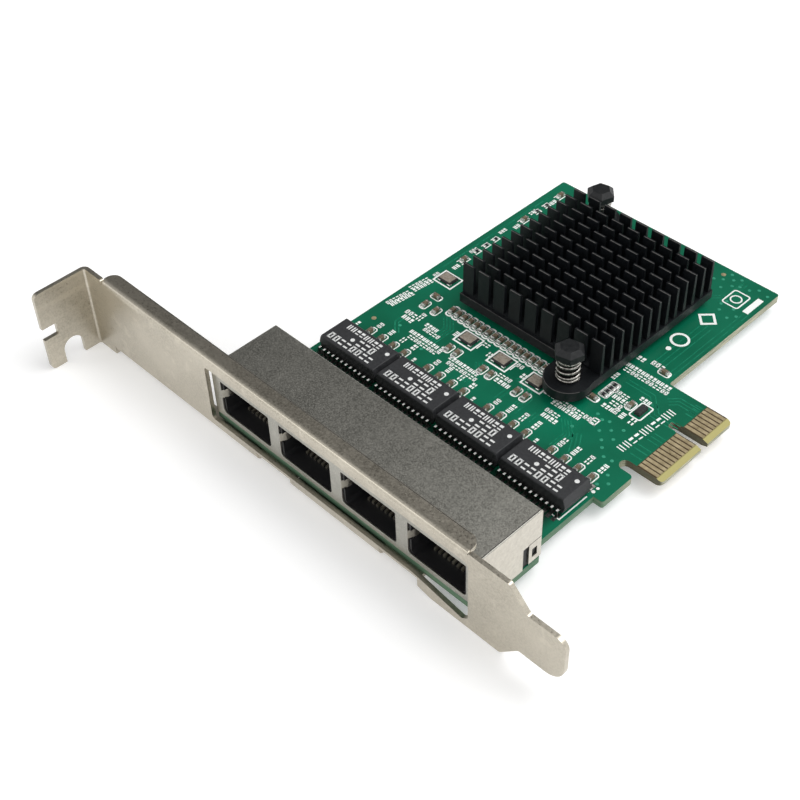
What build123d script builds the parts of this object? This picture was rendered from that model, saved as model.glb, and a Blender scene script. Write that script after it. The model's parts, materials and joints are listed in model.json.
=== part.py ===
from build123d import *
import os

# Network interface card with a row of jacks behind a full-height slot bracket.
# The card lies flat, component side up. X runs along the bracket from its screw tab to its
# tongue, Y from the bracket into the machine, Z up. Sizes are in millimetres.
# While it is drawn, x = 0 is the tab's outer face, y = 0 the bracket's outer face and z = 0
# the bracket's centre line. The finished card stands with its lowest edge at z = 0.

# Slot bracket
BRACKET_LENGTH = 120.02
BRACKET_WIDTH = 18.42
SHEET = 0.86
BEND = 0.5
TAB_DEPTH = 11.43
TAB_CORNER = 1.2
NOTCH_WIDTH = 4.42
NOTCH_FROM_FACE = 5.82
NOTCH_HEIGHT = 5.0
TAB_SLOT_WIDTH = 2.7
TAB_SLOT_DEPTH = 3.1
TAB_SLOT_BELOW_CENTRE = 0.4
FLANGE_START = 6.0
FLANGE_REACH = 3.4
FLANGE_CORNER = 2.0
RELIEF_RADIUS = 0.35
SHOULDER_LENGTH = 11.4
SHOULDER_SLANT = 3.9
SHOULDER_CORNER = 0.8
TONGUE_WIDTH = 10.19
TONGUE_UPPER_CORNER = 2.0
TONGUE_LOWER_CORNER = 3.8
WINDOW_LEFT_RIM = 2.4
WINDOW_RIGHT_RIM = 1.5
WINDOW_ABOVE_CENTRE = 6.7
WINDOW_BELOW_CENTRE = 5.9
WINDOW_TAPER_LENGTH = 12.3
WINDOW_TAPER_DROP = 2.0
WINDOW_TIP_WIDTH = 1.3
WINDOW_CORNER = 0.8
LOWER_FOLD_INSET = 0.7
LOWER_FOLD_SLANT = 3.0
LOWER_SHOULDER_EARLIER = 1.5
EAR_WIDTH = 9.0
EAR_REACH = 9.6
EAR_CORNER = 2.5

# Circuit board, measured from its left edge and from the bracket's outer face
BOARD_THICKNESS = 1.57
BOARD_TOP_BELOW_CENTRE = 5.15
BOARD_LEFT = 35.8
BOARD_FRONT = 1.6
BOARD_REAR = 98.5
BOARD_WIDTH = 55.4
FRONT_LUG_WIDTH = 65.1
FRONT_LUG_END = 16.4
RECESS_DEPTH = 2.0
RECESS_END = 32.6
HOOK_WIDTH = 2.35
HOOK_DEPTH = 3.8
KEY_FROM_FACE = 55.4
KEY_WIDTH = 1.9
KEY_DEPTH = 7.7
EDGE_HEIGHT = 69.4
EDGE_BEFORE_KEY = 12.15
EDGE_AFTER_KEY = 8.15
EDGE_BEVEL_LENGTH = 1.2
EDGE_BEVEL_DROP = 0.4
EDGE_CORNER = 0.8
BOARD_CORNER = 0.5

# Gold contacts on both sides of the edge
PAD_PITCH = 1.0
PAD_WIDTH = 0.7
PAD_LENGTH = 4.1
PAD_THICKNESS = 0.05
PADS_BEFORE_KEY = 11
PADS_AFTER_KEY = 7
PAD_FROM_KEY = 1.5

# Jack row
PORTS = 4
PORT_PITCH = 15.7
PORT_WIDTH = 13.0
PORT_HEIGHT = 7.5
PORT_ABOVE_BOARD = 1.55
PORT_CORNER = 0.8
JACK_CENTRE_FROM_BOARD_LEFT = 32.95
JACK_CHEEK = 2.2
JACK_FRONT = 1.2
JACK_REAR = 16.6
JACK_HEIGHT = 11.5
SHIELD_SHEET = 0.25
SHIELD_BEND = 0.4
SHIELD_FOOT_GAP = 0.45
HOUSING_GAP = 0.1
CAVITY_SIDE_LIP = 0.5
CAVITY_TOP_LIP = 0.6
CAVITY_DEPTH = 12.3
LATCH_WIDTH = 6.4
LATCH_HEIGHT = 1.4
COMB_DEPTH = 1.8
COMB_HEIGHT = 3.2
CONTACTS = 8
CONTACT_PITCH = 1.02
CONTACT_WIDTH = 0.5
CONTACT_THICKNESS = 0.3
CONTACT_SET_BACK = 3.3
CONTACT_RUN = 6.4
CONTACT_RISE = 1.9
CONTACT_FOOT = 3.0
TAIL_WIDTH = 0.5
TAIL_LENGTH = 1.1
TAIL_ROW_GAP = 2.54
TAIL_FROM_REAR = 3.0
PEG_RADIUS = 1.6
PEG_FROM_FRONT = 9.0
SPRING_TAB_HEIGHT = 1.9
SPRING_TAB_LENGTH = 3.4
SPRING_TAB_BULGE = 0.8
SPRING_TAB_ABOVE_BOARD = 4.95
SIDE_WINDOW_LENGTH = 4.4
SIDE_WINDOW_HEIGHT = 5.1
FLAG_WIDTH = 3.0
FLAG_GAP = 0.4
FLAG_HOLE_WIDTH = 1.2
FLAG_HOLE_HEIGHT = 2.0
LEG_WIDTH = 1.6
LEG_LENGTH = 2.4
LEG_FROM_FRONT = 6.5
LEG_CLEARANCE = 0.15

# Screws up through the bracket's ears and the board into the jack's walls
SCREW_RADIUS = 1.25
SCREW_HEAD_RADIUS = 2.3
SCREW_HEAD_HEIGHT = 1.1
SCREW_DEPTH = 3.6
SCREW_FROM_FACE = 5.6
SCREW_HOLE_CLEARANCE = 0.2
DRIVE_WIDTH = 0.6
DRIVE_LENGTH = 2.7
DRIVE_DEPTH = 0.5

# Magnetics modules
MODULE_PITCH = 15.3
MODULE_LENGTH = 15.1
MODULE_WIDTH = 6.9
MODULE_TOP = 3.7
MODULE_STANDOFF = 0.3
LEAD_EXIT = 1.5
MODULE_END_SLOPE = 0.5
MODULE_BEHIND_JACK = 9.1
MODULES_LEFT_OF_JACK = 0.95
LEADS_PER_SIDE = 12
LEAD_PITCH = 1.2
LEAD_WIDTH = 0.45
LEAD_THICKNESS = 0.22
LEAD_REACH = 1.35
LEAD_FOOT = 0.7

# Heat sink, its pins and what lies under it
SINK_LENGTH = 34.8
SINK_DEPTH = 34.3
SINK_CENTRE_X = 65.6
SINK_CENTRE_Y = 70.0
SINK_GAP = 1.5
SINK_BASE = 2.0
SINK_TOP = 10.7
BLADE_COLUMNS = 9
BLADE_ROWS = 13
BLADE_GAP = 1.2
BLADE_FOOT = 0.9
BLADE_TIP = 0.5
BLADE_END_INSET = 0.2
BLADE_FRONT_INSET = 0.6
BLADE_REAR_INSET = 0.3
RIB_HEIGHT = 0.5
LUG_RADIUS = 4.6
LUG_OFF_X = 13.1
LUG_OFF_Y = 20.2
LUGS_NEARER = 0.5
LUG_HOLE_RADIUS = 1.6
PIN_RADIUS = 1.3
PIN_HOLE_RADIUS = 1.5
PIN_HEAD_ACROSS = 6.0
PIN_HEAD_SIDES = 6
PIN_HEAD_TURN = 13
PIN_HEAD_HEIGHT = 2.2
PIN_DOME = 0.9
PIN_TOP = 11.0
PIN_BARB_RADIUS = 1.9
PIN_BARB_LENGTH = 2.0
PIN_SPLIT = 0.6
COIL_WIRE = 0.55
COIL_WIRE_SIDES = 6
COIL_OUTSIDE = 4.7
COIL_TURNS = 6
CHIP_HEIGHT = 0.9
SWITCH_SIDE = 10.0
PORT_CHIP_SIDE = 6.0
PORT_CHIP_OFF = 10.5
PAD_SHEET_SIDE = 30.0

# Crystals: one at the heat sink's left, three in a row in front of it
CRYSTAL_LENGTH = 3.2
CRYSTAL_WIDTH = 2.5
CRYSTAL_HEIGHT = 0.8
CRYSTAL_RIM = 0.25
CRYSTAL_LID = 0.15
CRYSTAL_ROW_PITCH = 8.6
CRYSTAL_ROW_FROM_SINK = 5.95
CRYSTAL_ROW_RIGHT = 0.8
CRYSTAL_LEFT_FROM_SINK = 7.4
CRYSTAL_LEFT_BEHIND_FRONT = 4.35

# Chip capacitors and resistors
CAP_LENGTH = 1.6
CAP_WIDTH = 0.8
CAP_HEIGHT = 0.75
RES_LENGTH = 1.0
RES_WIDTH = 0.5
RES_HEIGHT = 0.35
MODULE_CAPS = 4
MODULE_CAP_PITCH = 3.07
MODULE_CAP_BEHIND = 2.9
MODULE_CAP_RIGHT = 0.6
SINK_CAPS = 16
SINK_CAP_PITCH = 1.6
SINK_CAP_IN_FRONT = 1.95
PAIR_IN_FRONT_OF_CRYSTAL = 4.3
PAIR_SPACING = 2.1
LEFT_PAIR_RIGHT = 5.05
LEFT_PAIR_FLAT_BEHIND = 3.15
LEFT_CHIP_FROM_EDGE = 3.0
LEFT_CAPS_FROM_SINK_FRONT = (11.15, 29.55, 41.15)
LEFT_RESISTORS_FROM_SINK_FRONT = (14.95, 17.75, 20.55, 33.55, 36.55)
NETWORK_PITCH = 1.1
NETWORK_CHIPS = 4
NETWORK_FROM_SINK = 1.3
NETWORK_BEHIND_FRONT = 0.25
SUPPLY_FLAT_CAPS = ((0.4, -1.75), (5.8, 12.35))
SUPPLY_CROSS_CAPS = ((6.7, 1.35),)
REGULATOR_FROM_SINK = 9.0
REGULATOR_BEHIND_FRONT = 1.4
REGULATOR_LENGTH = 1.3
REGULATOR_WIDTH = 2.6
REGULATOR_HEIGHT = 0.8
REGULATOR_DRAFT = 6

# Levels and places worked out from the sizes above
TOP = -BOARD_TOP_BELOW_CENTRE
BOTTOM = TOP - BOARD_THICKNESS
HALF = BRACKET_WIDTH / 2
OUTER_BEND = BEND + SHEET
JACK_MIDDLE = BOARD_LEFT + JACK_CENTRE_FROM_BOARD_LEFT
PORT_XS = [JACK_MIDDLE + (n - (PORTS - 1) / 2) * PORT_PITCH for n in range(PORTS)]
JACK_LEFT = PORT_XS[0] - PORT_WIDTH / 2 - JACK_CHEEK
JACK_RIGHT = PORT_XS[-1] + PORT_WIDTH / 2 + JACK_CHEEK
JACK_TOP = TOP + JACK_HEIGHT
FLOOR = TOP + PORT_ABOVE_BOARD
CAVITY_FRONT = JACK_FRONT + SHIELD_SHEET + HOUSING_GAP
CAVITY_WIDTH = PORT_WIDTH - 2 * CAVITY_SIDE_LIP
CAVITY_HEIGHT = PORT_HEIGHT - CAVITY_TOP_LIP
CAVITY_REAR = CAVITY_FRONT + CAVITY_DEPTH
EAR_XS = [(PORT_XS[0] + PORT_XS[1]) / 2, (PORT_XS[-2] + PORT_XS[-1]) / 2]
UPPER_FLANGE_END = JACK_RIGHT - FLANGE_CORNER / 2
TONGUE_START = BRACKET_LENGTH - SHOULDER_LENGTH
EDGE_FRONT = KEY_FROM_FACE - EDGE_BEFORE_KEY
EDGE_REAR = KEY_FROM_FACE + EDGE_AFTER_KEY
EDGE_TIP = BOARD_LEFT + EDGE_HEIGHT
MODULE_FRONT = JACK_REAR + MODULE_BEHIND_JACK
MODULE_MIDDLE = JACK_MIDDLE - MODULES_LEFT_OF_JACK
MODULE_XS = [MODULE_MIDDLE + (n - (PORTS - 1) / 2) * MODULE_PITCH for n in range(PORTS)]
LUG_TOP = TOP + SINK_GAP + SINK_BASE
LUGS = {
    "near": (SINK_CENTRE_X + LUG_OFF_X, SINK_CENTRE_Y - LUGS_NEARER - LUG_OFF_Y),
    "far": (SINK_CENTRE_X - LUG_OFF_X, SINK_CENTRE_Y - LUGS_NEARER + LUG_OFF_Y),
}
LEG_YS = [JACK_FRONT + LEG_FROM_FRONT]
SINK_FRONT = SINK_CENTRE_Y - SINK_DEPTH / 2
SINK_REAR = SINK_CENTRE_Y + SINK_DEPTH / 2
SINK_LEFT = SINK_CENTRE_X - SINK_LENGTH / 2
SINK_RIGHT = SINK_CENTRE_X + SINK_LENGTH / 2
CRYSTAL_ROW_Y = SINK_FRONT - CRYSTAL_ROW_FROM_SINK
CRYSTALS = [(SINK_LEFT - CRYSTAL_LEFT_FROM_SINK, SINK_FRONT + CRYSTAL_LEFT_BEHIND_FRONT)]
CRYSTALS += [
    (SINK_CENTRE_X + (n - 1) * CRYSTAL_ROW_PITCH - CRYSTAL_ROW_RIGHT, CRYSTAL_ROW_Y)
    for n in range(3)
]
PLACE = Pos(-BRACKET_LENGTH / 2, -(BOARD_REAR - TAB_DEPTH) / 2, HALF)


def block(x0, x1, y0, y1, z0, z1):
    """Box between two corners."""
    centre = Pos((x0 + x1) / 2, (y0 + y1) / 2, (z0 + z1) / 2)
    return centre * Box(x1 - x0, y1 - y0, z1 - z0)


def post(x, y, z, radius, height):
    """Upright cylinder standing on z."""
    upright = Cylinder(radius, height, align=(Align.CENTER, Align.CENTER, Align.MIN))
    return Pos(x, y, z) * upright


def outline(plane, corners):
    """Face on a plane from (u, v, radius) corners; a radius of 0 leaves a corner sharp."""
    points = [(u, v) for u, v, radius in corners]
    radii = [radius for u, v, radius in corners]
    return plane * make_face(FilletPolyline(*points, radius=radii, close=True))


def folded_edge(start, end, height, reach, corner):
    """One half of the face, from the centre line up, with its edge folded inward and both
    free corners of the fold rounded."""
    section = [
        (0, 0, 0),
        (0, height, OUTER_BEND),
        (reach, height, 0),
        (reach, height - SHEET, 0),
        (SHEET, height - SHEET, BEND),
        (SHEET, 0, 0),
    ]
    fold = Pos(start, 0, 0) * extrude(outline(Plane.YZ, section), amount=end - start)
    upright = fold.edges().filter_by(Axis.Z)
    free_corners = [upright.sort_by_distance((x, reach, height))[0] for x in (start, end)]
    return fillet(free_corners, corner)


def slot_bracket():
    # The tab and the face are one strip, bent outward at the screw end.
    profile = [
        (0, -TAB_DEPTH, 0),
        (SHEET, -TAB_DEPTH, 0),
        (SHEET, 0, BEND),
        (BRACKET_LENGTH, 0, 0),
        (BRACKET_LENGTH, SHEET, 0),
        (0, SHEET, OUTER_BEND),
    ]
    strip = Pos(0, 0, -HALF) * extrude(outline(Plane.XY, profile), amount=BRACKET_WIDTH)
    tongue = TONGUE_WIDTH / 2
    ears = [(x - EAR_WIDTH / 2, x + EAR_WIDTH / 2) for x in EAR_XS]
    lower_start = TONGUE_START - LOWER_SHOULDER_EARLIER
    lower = HALF - LOWER_FOLD_INSET
    face = [
        (0, HALF, 0),
        (TONGUE_START, HALF, SHOULDER_CORNER),
        (TONGUE_START + SHOULDER_SLANT, tongue, SHOULDER_CORNER),
        (BRACKET_LENGTH, tongue, TONGUE_UPPER_CORNER),
        (BRACKET_LENGTH, -tongue, TONGUE_LOWER_CORNER),
        (lower_start + SHOULDER_SLANT, -tongue, SHOULDER_CORNER),
        (lower_start, -HALF, SHOULDER_CORNER),
        (ears[1][1] + LOWER_FOLD_SLANT, -HALF, SHOULDER_CORNER),
        (ears[1][1], -lower, 0),
        (FLANGE_START, -lower, 0),
        (FLANGE_START, -HALF, 0),
        (0, -HALF, 0),
    ]
    depth = TAB_DEPTH + SHEET
    blank = extrude(Pos(0, SHEET, 0) * outline(Plane.XZ, face), amount=depth)
    tab = [
        (-TAB_DEPTH, HALF, TAB_CORNER),
        (SHEET, HALF, 0),
        (SHEET, -HALF, 0),
        (-TAB_DEPTH, -HALF, TAB_CORNER),
    ]
    tab_blank = extrude(outline(Plane.YZ, tab), amount=BRACKET_LENGTH)
    bracket = strip & blank & tab_blank
    # Notch for the case screw, open at the lower edge, and the slot in the tab's rim.
    notch_top = -HALF + NOTCH_HEIGHT - NOTCH_WIDTH / 2
    notch_left = -NOTCH_FROM_FACE - NOTCH_WIDTH / 2
    bracket -= block(0, SHEET, notch_left, notch_left + NOTCH_WIDTH, -HALF, notch_top)
    notch_round = Rot(0, 90, 0) * Cylinder(NOTCH_WIDTH / 2, 2 * SHEET)
    bracket -= Pos(SHEET, -NOTCH_FROM_FACE, notch_top) * notch_round
    slot_low = -TAB_SLOT_BELOW_CENTRE - TAB_SLOT_WIDTH / 2
    slot_end = -TAB_DEPTH + TAB_SLOT_DEPTH
    bracket -= block(0, SHEET, -TAB_DEPTH, slot_end, slot_low, slot_low + TAB_SLOT_WIDTH)
    # Folded edges take the place of the flat edges along the face.
    ear_height = -BOTTOM + SHEET
    lower_runs = [(FLANGE_START, ears[0][0]), (ears[0][1], ears[1][0])]
    upper_trim = HALF - OUTER_BEND
    lower_trim = lower - OUTER_BEND
    bracket -= block(FLANGE_START, UPPER_FLANGE_END, 0, SHEET, upper_trim, HALF)
    bracket -= block(FLANGE_START, ears[1][1], 0, SHEET, -HALF, -lower_trim)
    bracket += folded_edge(
        FLANGE_START, UPPER_FLANGE_END, HALF, FLANGE_REACH, FLANGE_CORNER
    )
    for start, end in lower_runs:
        bracket += mirror(
            folded_edge(start, end, lower, FLANGE_REACH, SHEET), about=Plane.XY
        )
    for (start, end), x in zip(ears, EAR_XS):
        bracket -= block(start, end, 0, OUTER_BEND, -HALF, OUTER_BEND - ear_height)
        ear = folded_edge(start, end, ear_height, EAR_REACH, EAR_CORNER)
        bracket += mirror(ear, about=Plane.XY)
        hole = SCREW_RADIUS + SCREW_HOLE_CLEARANCE
        bracket -= post(x, SCREW_FROM_FACE, -ear_height, hole, SHEET)
    # Round reliefs where the folds end against the flat plate.
    relief = extrude(Plane.XZ * Circle(RELIEF_RADIUS), amount=-SHEET)
    bracket -= Pos(UPPER_FLANGE_END, 0, HALF) * relief
    bracket -= Pos(FLANGE_START, 0, HALF) * relief
    # Window in front of the jacks, with its lower right corner drawn out to a narrow tip.
    left = PORT_XS[0] - PORT_WIDTH / 2 - WINDOW_LEFT_RIM
    right = PORT_XS[-1] + PORT_WIDTH / 2 + WINDOW_RIGHT_RIM
    window = [
        (left, WINDOW_ABOVE_CENTRE, WINDOW_CORNER),
        (right, WINDOW_ABOVE_CENTRE, WINDOW_CORNER),
        (right, -WINDOW_BELOW_CENTRE - WINDOW_TAPER_DROP / 2, WINDOW_CORNER),
        (right - WINDOW_TIP_WIDTH, -WINDOW_BELOW_CENTRE - WINDOW_TAPER_DROP, WINDOW_CORNER / 2),
        (right - WINDOW_TAPER_LENGTH, -WINDOW_BELOW_CENTRE, WINDOW_TAPER_LENGTH),
        (left, -WINDOW_BELOW_CENTRE, WINDOW_CORNER),
    ]
    return bracket - extrude(outline(Plane.XZ, window), amount=-SHEET)


def bracket_screws():
    """Pan-head screws, each with a cross recess, standing in the jack's walls."""
    ear_face = BOTTOM - SHEET
    grip = BOARD_THICKNESS + SHEET + SCREW_DEPTH
    profile = [
        (0, 0, 0),
        (SCREW_HEAD_RADIUS, 0, 0),
        (SCREW_HEAD_RADIUS, -SCREW_HEAD_HEIGHT, SCREW_HEAD_HEIGHT * 0.7),
        (0, -SCREW_HEAD_HEIGHT, 0),
    ]
    head = revolve(outline(Plane.XZ, profile), Axis.Z)
    bar = Box(DRIVE_LENGTH, DRIVE_WIDTH, DRIVE_DEPTH)
    bar = Pos(0, 0, DRIVE_DEPTH / 2 - SCREW_HEAD_HEIGHT) * bar
    head -= bar
    head -= Rot(0, 0, 90) * bar
    screw = head + post(0, 0, 0, SCREW_RADIUS, grip)
    return [Pos(x, SCREW_FROM_FACE, ear_face) * screw for x in EAR_XS]


def circuit_board():
    front_right = BOARD_LEFT + FRONT_LUG_WIDTH
    recess = front_right - RECESS_DEPTH
    rear_right = BOARD_LEFT + BOARD_WIDTH
    hook_start = EDGE_FRONT - HOOK_WIDTH
    corners = [
        (BOARD_LEFT, BOARD_FRONT, BOARD_CORNER),
        (front_right, BOARD_FRONT, BOARD_CORNER),
        (front_right, FRONT_LUG_END, BOARD_CORNER),
        (recess, FRONT_LUG_END + RECESS_DEPTH, BOARD_CORNER),
        (recess, RECESS_END, 0),
        (front_right, RECESS_END, BOARD_CORNER),
        (front_right, hook_start, EDGE_CORNER),
        (front_right - HOOK_DEPTH, hook_start, HOOK_WIDTH * 0.49),
        (front_right - HOOK_DEPTH, EDGE_FRONT, HOOK_WIDTH * 0.49),
        (EDGE_TIP, EDGE_FRONT, EDGE_CORNER),
        (EDGE_TIP, EDGE_REAR, EDGE_CORNER),
        (rear_right, EDGE_REAR, BOARD_CORNER),
        (rear_right, BOARD_REAR, BOARD_CORNER),
        (BOARD_LEFT, BOARD_REAR, BOARD_CORNER),
    ]
    plate = Pos(0, 0, BOTTOM) * extrude(outline(Plane.XY, corners), BOARD_THICKNESS)
    # Key slot with a round end, between the two groups of contacts.
    half_key = KEY_WIDTH / 2
    key_end = EDGE_TIP - KEY_DEPTH + half_key
    key_y = KEY_FROM_FACE
    plate -= block(key_end, EDGE_TIP, key_y - half_key, key_y + half_key, BOTTOM, TOP)
    plate -= post(key_end, key_y, BOTTOM, half_key, BOARD_THICKNESS)
    # The edge is bevelled on both sides so that it slides into its socket.
    for level, drop in ((TOP, -EDGE_BEVEL_DROP), (BOTTOM, EDGE_BEVEL_DROP)):
        wedge = [
            (EDGE_TIP - EDGE_BEVEL_LENGTH, level, 0),
            (EDGE_TIP, level, 0),
            (EDGE_TIP, level + drop, 0),
        ]
        run = EDGE_FRONT - EDGE_REAR
        plate -= Pos(0, EDGE_FRONT, 0) * extrude(outline(Plane.XZ, wedge), amount=run)
    for x, y in LUGS.values():
        plate -= post(x, y, BOTTOM, PIN_HOLE_RADIUS, BOARD_THICKNESS)
    for x in EAR_XS:
        hole = SCREW_RADIUS + SCREW_HOLE_CLEARANCE
        plate -= post(x, SCREW_FROM_FACE, BOTTOM, hole, BOARD_THICKNESS)
    for x in peg_xs():
        plate -= post(x, JACK_FRONT + PEG_FROM_FRONT, BOTTOM, PEG_RADIUS, BOARD_THICKNESS)
    for left, right, y in leg_places():
        half = LEG_WIDTH / 2 + LEG_CLEARANCE
        plate -= block(
            left - LEG_CLEARANCE, right + LEG_CLEARANCE, y - half, y + half, BOTTOM, TOP
        )
    return plate


def edge_contacts(below):
    """Contact pads on one side of the board, in two groups either side of the key."""
    before = [-PAD_FROM_KEY - n * PAD_PITCH for n in range(PADS_BEFORE_KEY)]
    after = [PAD_FROM_KEY + n * PAD_PITCH for n in range(PADS_AFTER_KEY)]
    end = EDGE_TIP - EDGE_BEVEL_LENGTH
    low = BOTTOM - PAD_THICKNESS if below else TOP
    pads = []
    for offset in before + after:
        y = KEY_FROM_FACE + offset
        pad = block(
            end - PAD_LENGTH, end, y - PAD_WIDTH / 2, y + PAD_WIDTH / 2, low, low + PAD_THICKNESS
        )
        pads.append(pad)
    return pads


def peg_xs():
    """The housing's locating pegs stand between the outer pairs of ports."""
    return EAR_XS


def leg_places():
    """Left x, right x and centre y of each shield leg."""
    places = []
    for y in LEG_YS:
        places.append((JACK_LEFT, JACK_LEFT + SHIELD_SHEET, y))
        places.append((JACK_RIGHT - SHIELD_SHEET, JACK_RIGHT, y))
    return places


def port_face(x, width, height, low, corner):
    """Outline of one port seen from the front."""
    half = width / 2
    corners = [
        (x - half, low, corner),
        (x + half, low, corner),
        (x + half, low + height, corner / 4),
        (x - half, low + height, corner / 4),
    ]
    return outline(Plane.XZ, corners)


def jack_shield():
    # One sheet folded over the top, front, back and both ends of the jack row.
    outer = block(JACK_LEFT, JACK_RIGHT, JACK_FRONT, JACK_REAR, TOP, JACK_TOP)
    outer = fillet(outer.edges().group_by(Axis.Z)[-1], SHIELD_BEND)
    inner = block(
        JACK_LEFT + SHIELD_SHEET,
        JACK_RIGHT - SHIELD_SHEET,
        JACK_FRONT + SHIELD_SHEET,
        JACK_REAR - SHIELD_SHEET,
        TOP,
        JACK_TOP - SHIELD_SHEET,
    )
    shell = outer - fillet(inner.edges().group_by(Axis.Z)[-1], SHIELD_BEND - SHIELD_SHEET)
    for x in PORT_XS:
        port = port_face(x, PORT_WIDTH, PORT_HEIGHT, FLOOR, PORT_CORNER)
        shell -= Pos(0, JACK_FRONT, 0) * extrude(port, amount=-SHIELD_SHEET)
    front_in = JACK_FRONT + SHIELD_SHEET
    side_in = SHIELD_SHEET
    shell -= block(
        JACK_LEFT + side_in,
        JACK_RIGHT - side_in,
        JACK_FRONT,
        front_in,
        TOP,
        TOP + SHIELD_FOOT_GAP,
    )
    shell -= block(
        JACK_LEFT + side_in,
        JACK_RIGHT - side_in,
        JACK_REAR - side_in,
        JACK_REAR,
        TOP,
        TOP + SHIELD_FOOT_GAP,
    )
    # Side windows near the rear, each with a flag that has a square hole.
    window_front = JACK_REAR - SIDE_WINDOW_LENGTH
    window_top = TOP + SIDE_WINDOW_HEIGHT
    flag_front = JACK_REAR - FLAG_WIDTH
    for left in (JACK_LEFT, JACK_RIGHT - SHIELD_SHEET):
        right = left + SHIELD_SHEET
        shell -= block(left, right, window_front, flag_front, TOP, window_top)
        shell -= block(left, right, flag_front, JACK_REAR, TOP, TOP + FLAG_GAP)
        hole_front = flag_front + (FLAG_WIDTH - SHIELD_SHEET - FLAG_HOLE_WIDTH) / 2
        hole_low = TOP + (SIDE_WINDOW_HEIGHT - FLAG_HOLE_HEIGHT) / 2
        shell -= block(
            left,
            right,
            hole_front,
            hole_front + FLAG_HOLE_WIDTH,
            hole_low,
            hole_low + FLAG_HOLE_HEIGHT,
        )
    for left, right, y in leg_places():
        half = LEG_WIDTH / 2
        shell += block(left, right, y - half, y + half, TOP - LEG_LENGTH, TOP)
    # A sprung tongue at the left of each port grips the plug's shell.
    for x in PORT_XS:
        shell += spring_tongue(x - PORT_WIDTH / 2)
    return shell


def spring_tongue(x):
    """Strip folded back from the port's left edge, bulged towards the plug."""
    y = JACK_FRONT
    middle = y + SPRING_TAB_LENGTH / 2
    end = y + SPRING_TAB_LENGTH
    path = [
        (x, y, 0),
        (x + SPRING_TAB_BULGE, middle, SPRING_TAB_LENGTH / 2),
        (x, end, 0),
        (x - SHIELD_SHEET, end, 0),
        (x + SPRING_TAB_BULGE - SHIELD_SHEET, middle, SPRING_TAB_LENGTH / 2),
        (x - SHIELD_SHEET, y, 0),
    ]
    low = TOP + SPRING_TAB_ABOVE_BOARD
    return Pos(0, 0, low) * extrude(outline(Plane.XY, path), amount=SPRING_TAB_HEIGHT)


def jack_housing():
    inset = SHIELD_SHEET + HOUSING_GAP
    rear = JACK_REAR - inset
    body = block(
        JACK_LEFT + inset, JACK_RIGHT - inset, CAVITY_FRONT, rear, TOP, JACK_TOP - inset
    )
    for x in PORT_XS:
        cavity = port_face(x, CAVITY_WIDTH, CAVITY_HEIGHT, FLOOR, PORT_CORNER)
        body -= Pos(0, CAVITY_FRONT, 0) * extrude(cavity, amount=-CAVITY_DEPTH)
        # The plug's latch hooks into the notch above the cavity.
        ceiling = FLOOR + CAVITY_HEIGHT
        half = LATCH_WIDTH / 2
        latch_rear = CAVITY_FRONT + CAVITY_DEPTH * 0.7
        body -= block(
            x - half, x + half, CAVITY_FRONT, latch_rear, ceiling, ceiling + LATCH_HEIGHT
        )
        # Comb behind the contacts.
        half = CAVITY_WIDTH / 2
        body += block(
            x - half, x + half, CAVITY_REAR - COMB_DEPTH, CAVITY_REAR, FLOOR, FLOOR + COMB_HEIGHT
        )
        # Pocket that lets the shield's spring tongue flex.
        edge = x - PORT_WIDTH / 2
        low = TOP + SPRING_TAB_ABOVE_BOARD - HOUSING_GAP
        high = low + SPRING_TAB_HEIGHT + 2 * HOUSING_GAP
        pocket_rear = JACK_FRONT + SPRING_TAB_LENGTH + HOUSING_GAP
        pocket_left = edge - SHIELD_SHEET - HOUSING_GAP
        pocket_right = x - CAVITY_WIDTH / 2
        body -= block(pocket_left, pocket_right, CAVITY_FRONT, pocket_rear, low, high)
    for x in EAR_XS:
        body -= post(x, SCREW_FROM_FACE, TOP, SCREW_RADIUS, SCREW_DEPTH)
    for x in peg_xs():
        peg = post(x, JACK_FRONT + PEG_FROM_FRONT, BOTTOM, PEG_RADIUS, BOARD_THICKNESS)
        body += peg
    return body


def jack_contacts(x):
    """Eight sprung wires folded back from the cavity floor, side by side."""
    front = JACK_FRONT + CONTACT_SET_BACK
    thick = CONTACT_THICKNESS
    profile = [
        (front, FLOOR, 0),
        (front + CONTACT_FOOT, FLOOR, 0),
        (front + CONTACT_FOOT, FLOOR + thick, 0),
        (front + 2.5 * thick, FLOOR + thick, 0),
        (front + CONTACT_RUN, FLOOR + CONTACT_RISE, 0),
        (front + CONTACT_RUN, FLOOR + CONTACT_RISE + thick, 0),
        (front, FLOOR + 1.5 * thick, 0),
    ]
    wire = extrude(outline(Plane.YZ, profile), amount=CONTACT_WIDTH / 2, both=True)
    first = x - (CONTACTS - 1) / 2 * CONTACT_PITCH
    return [Pos(first + n * CONTACT_PITCH, 0, 0) * wire for n in range(CONTACTS)]


def jack_tails():
    """Soldered ends of the contacts, in two staggered rows under each port."""
    tails = []
    half = TAIL_WIDTH / 2
    rear_row = JACK_REAR - TAIL_FROM_REAR
    for x in PORT_XS:
        first = x - (CONTACTS - 1) / 2 * CONTACT_PITCH
        for n in range(CONTACTS):
            tail_x = first + n * CONTACT_PITCH
            tail_y = rear_row - (n % 2) * TAIL_ROW_GAP
            tail = block(
                tail_x - half,
                tail_x + half,
                tail_y - half,
                tail_y + half,
                BOTTOM - TAIL_LENGTH,
                BOTTOM,
            )
            tails.append(tail)
    return tails


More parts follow.
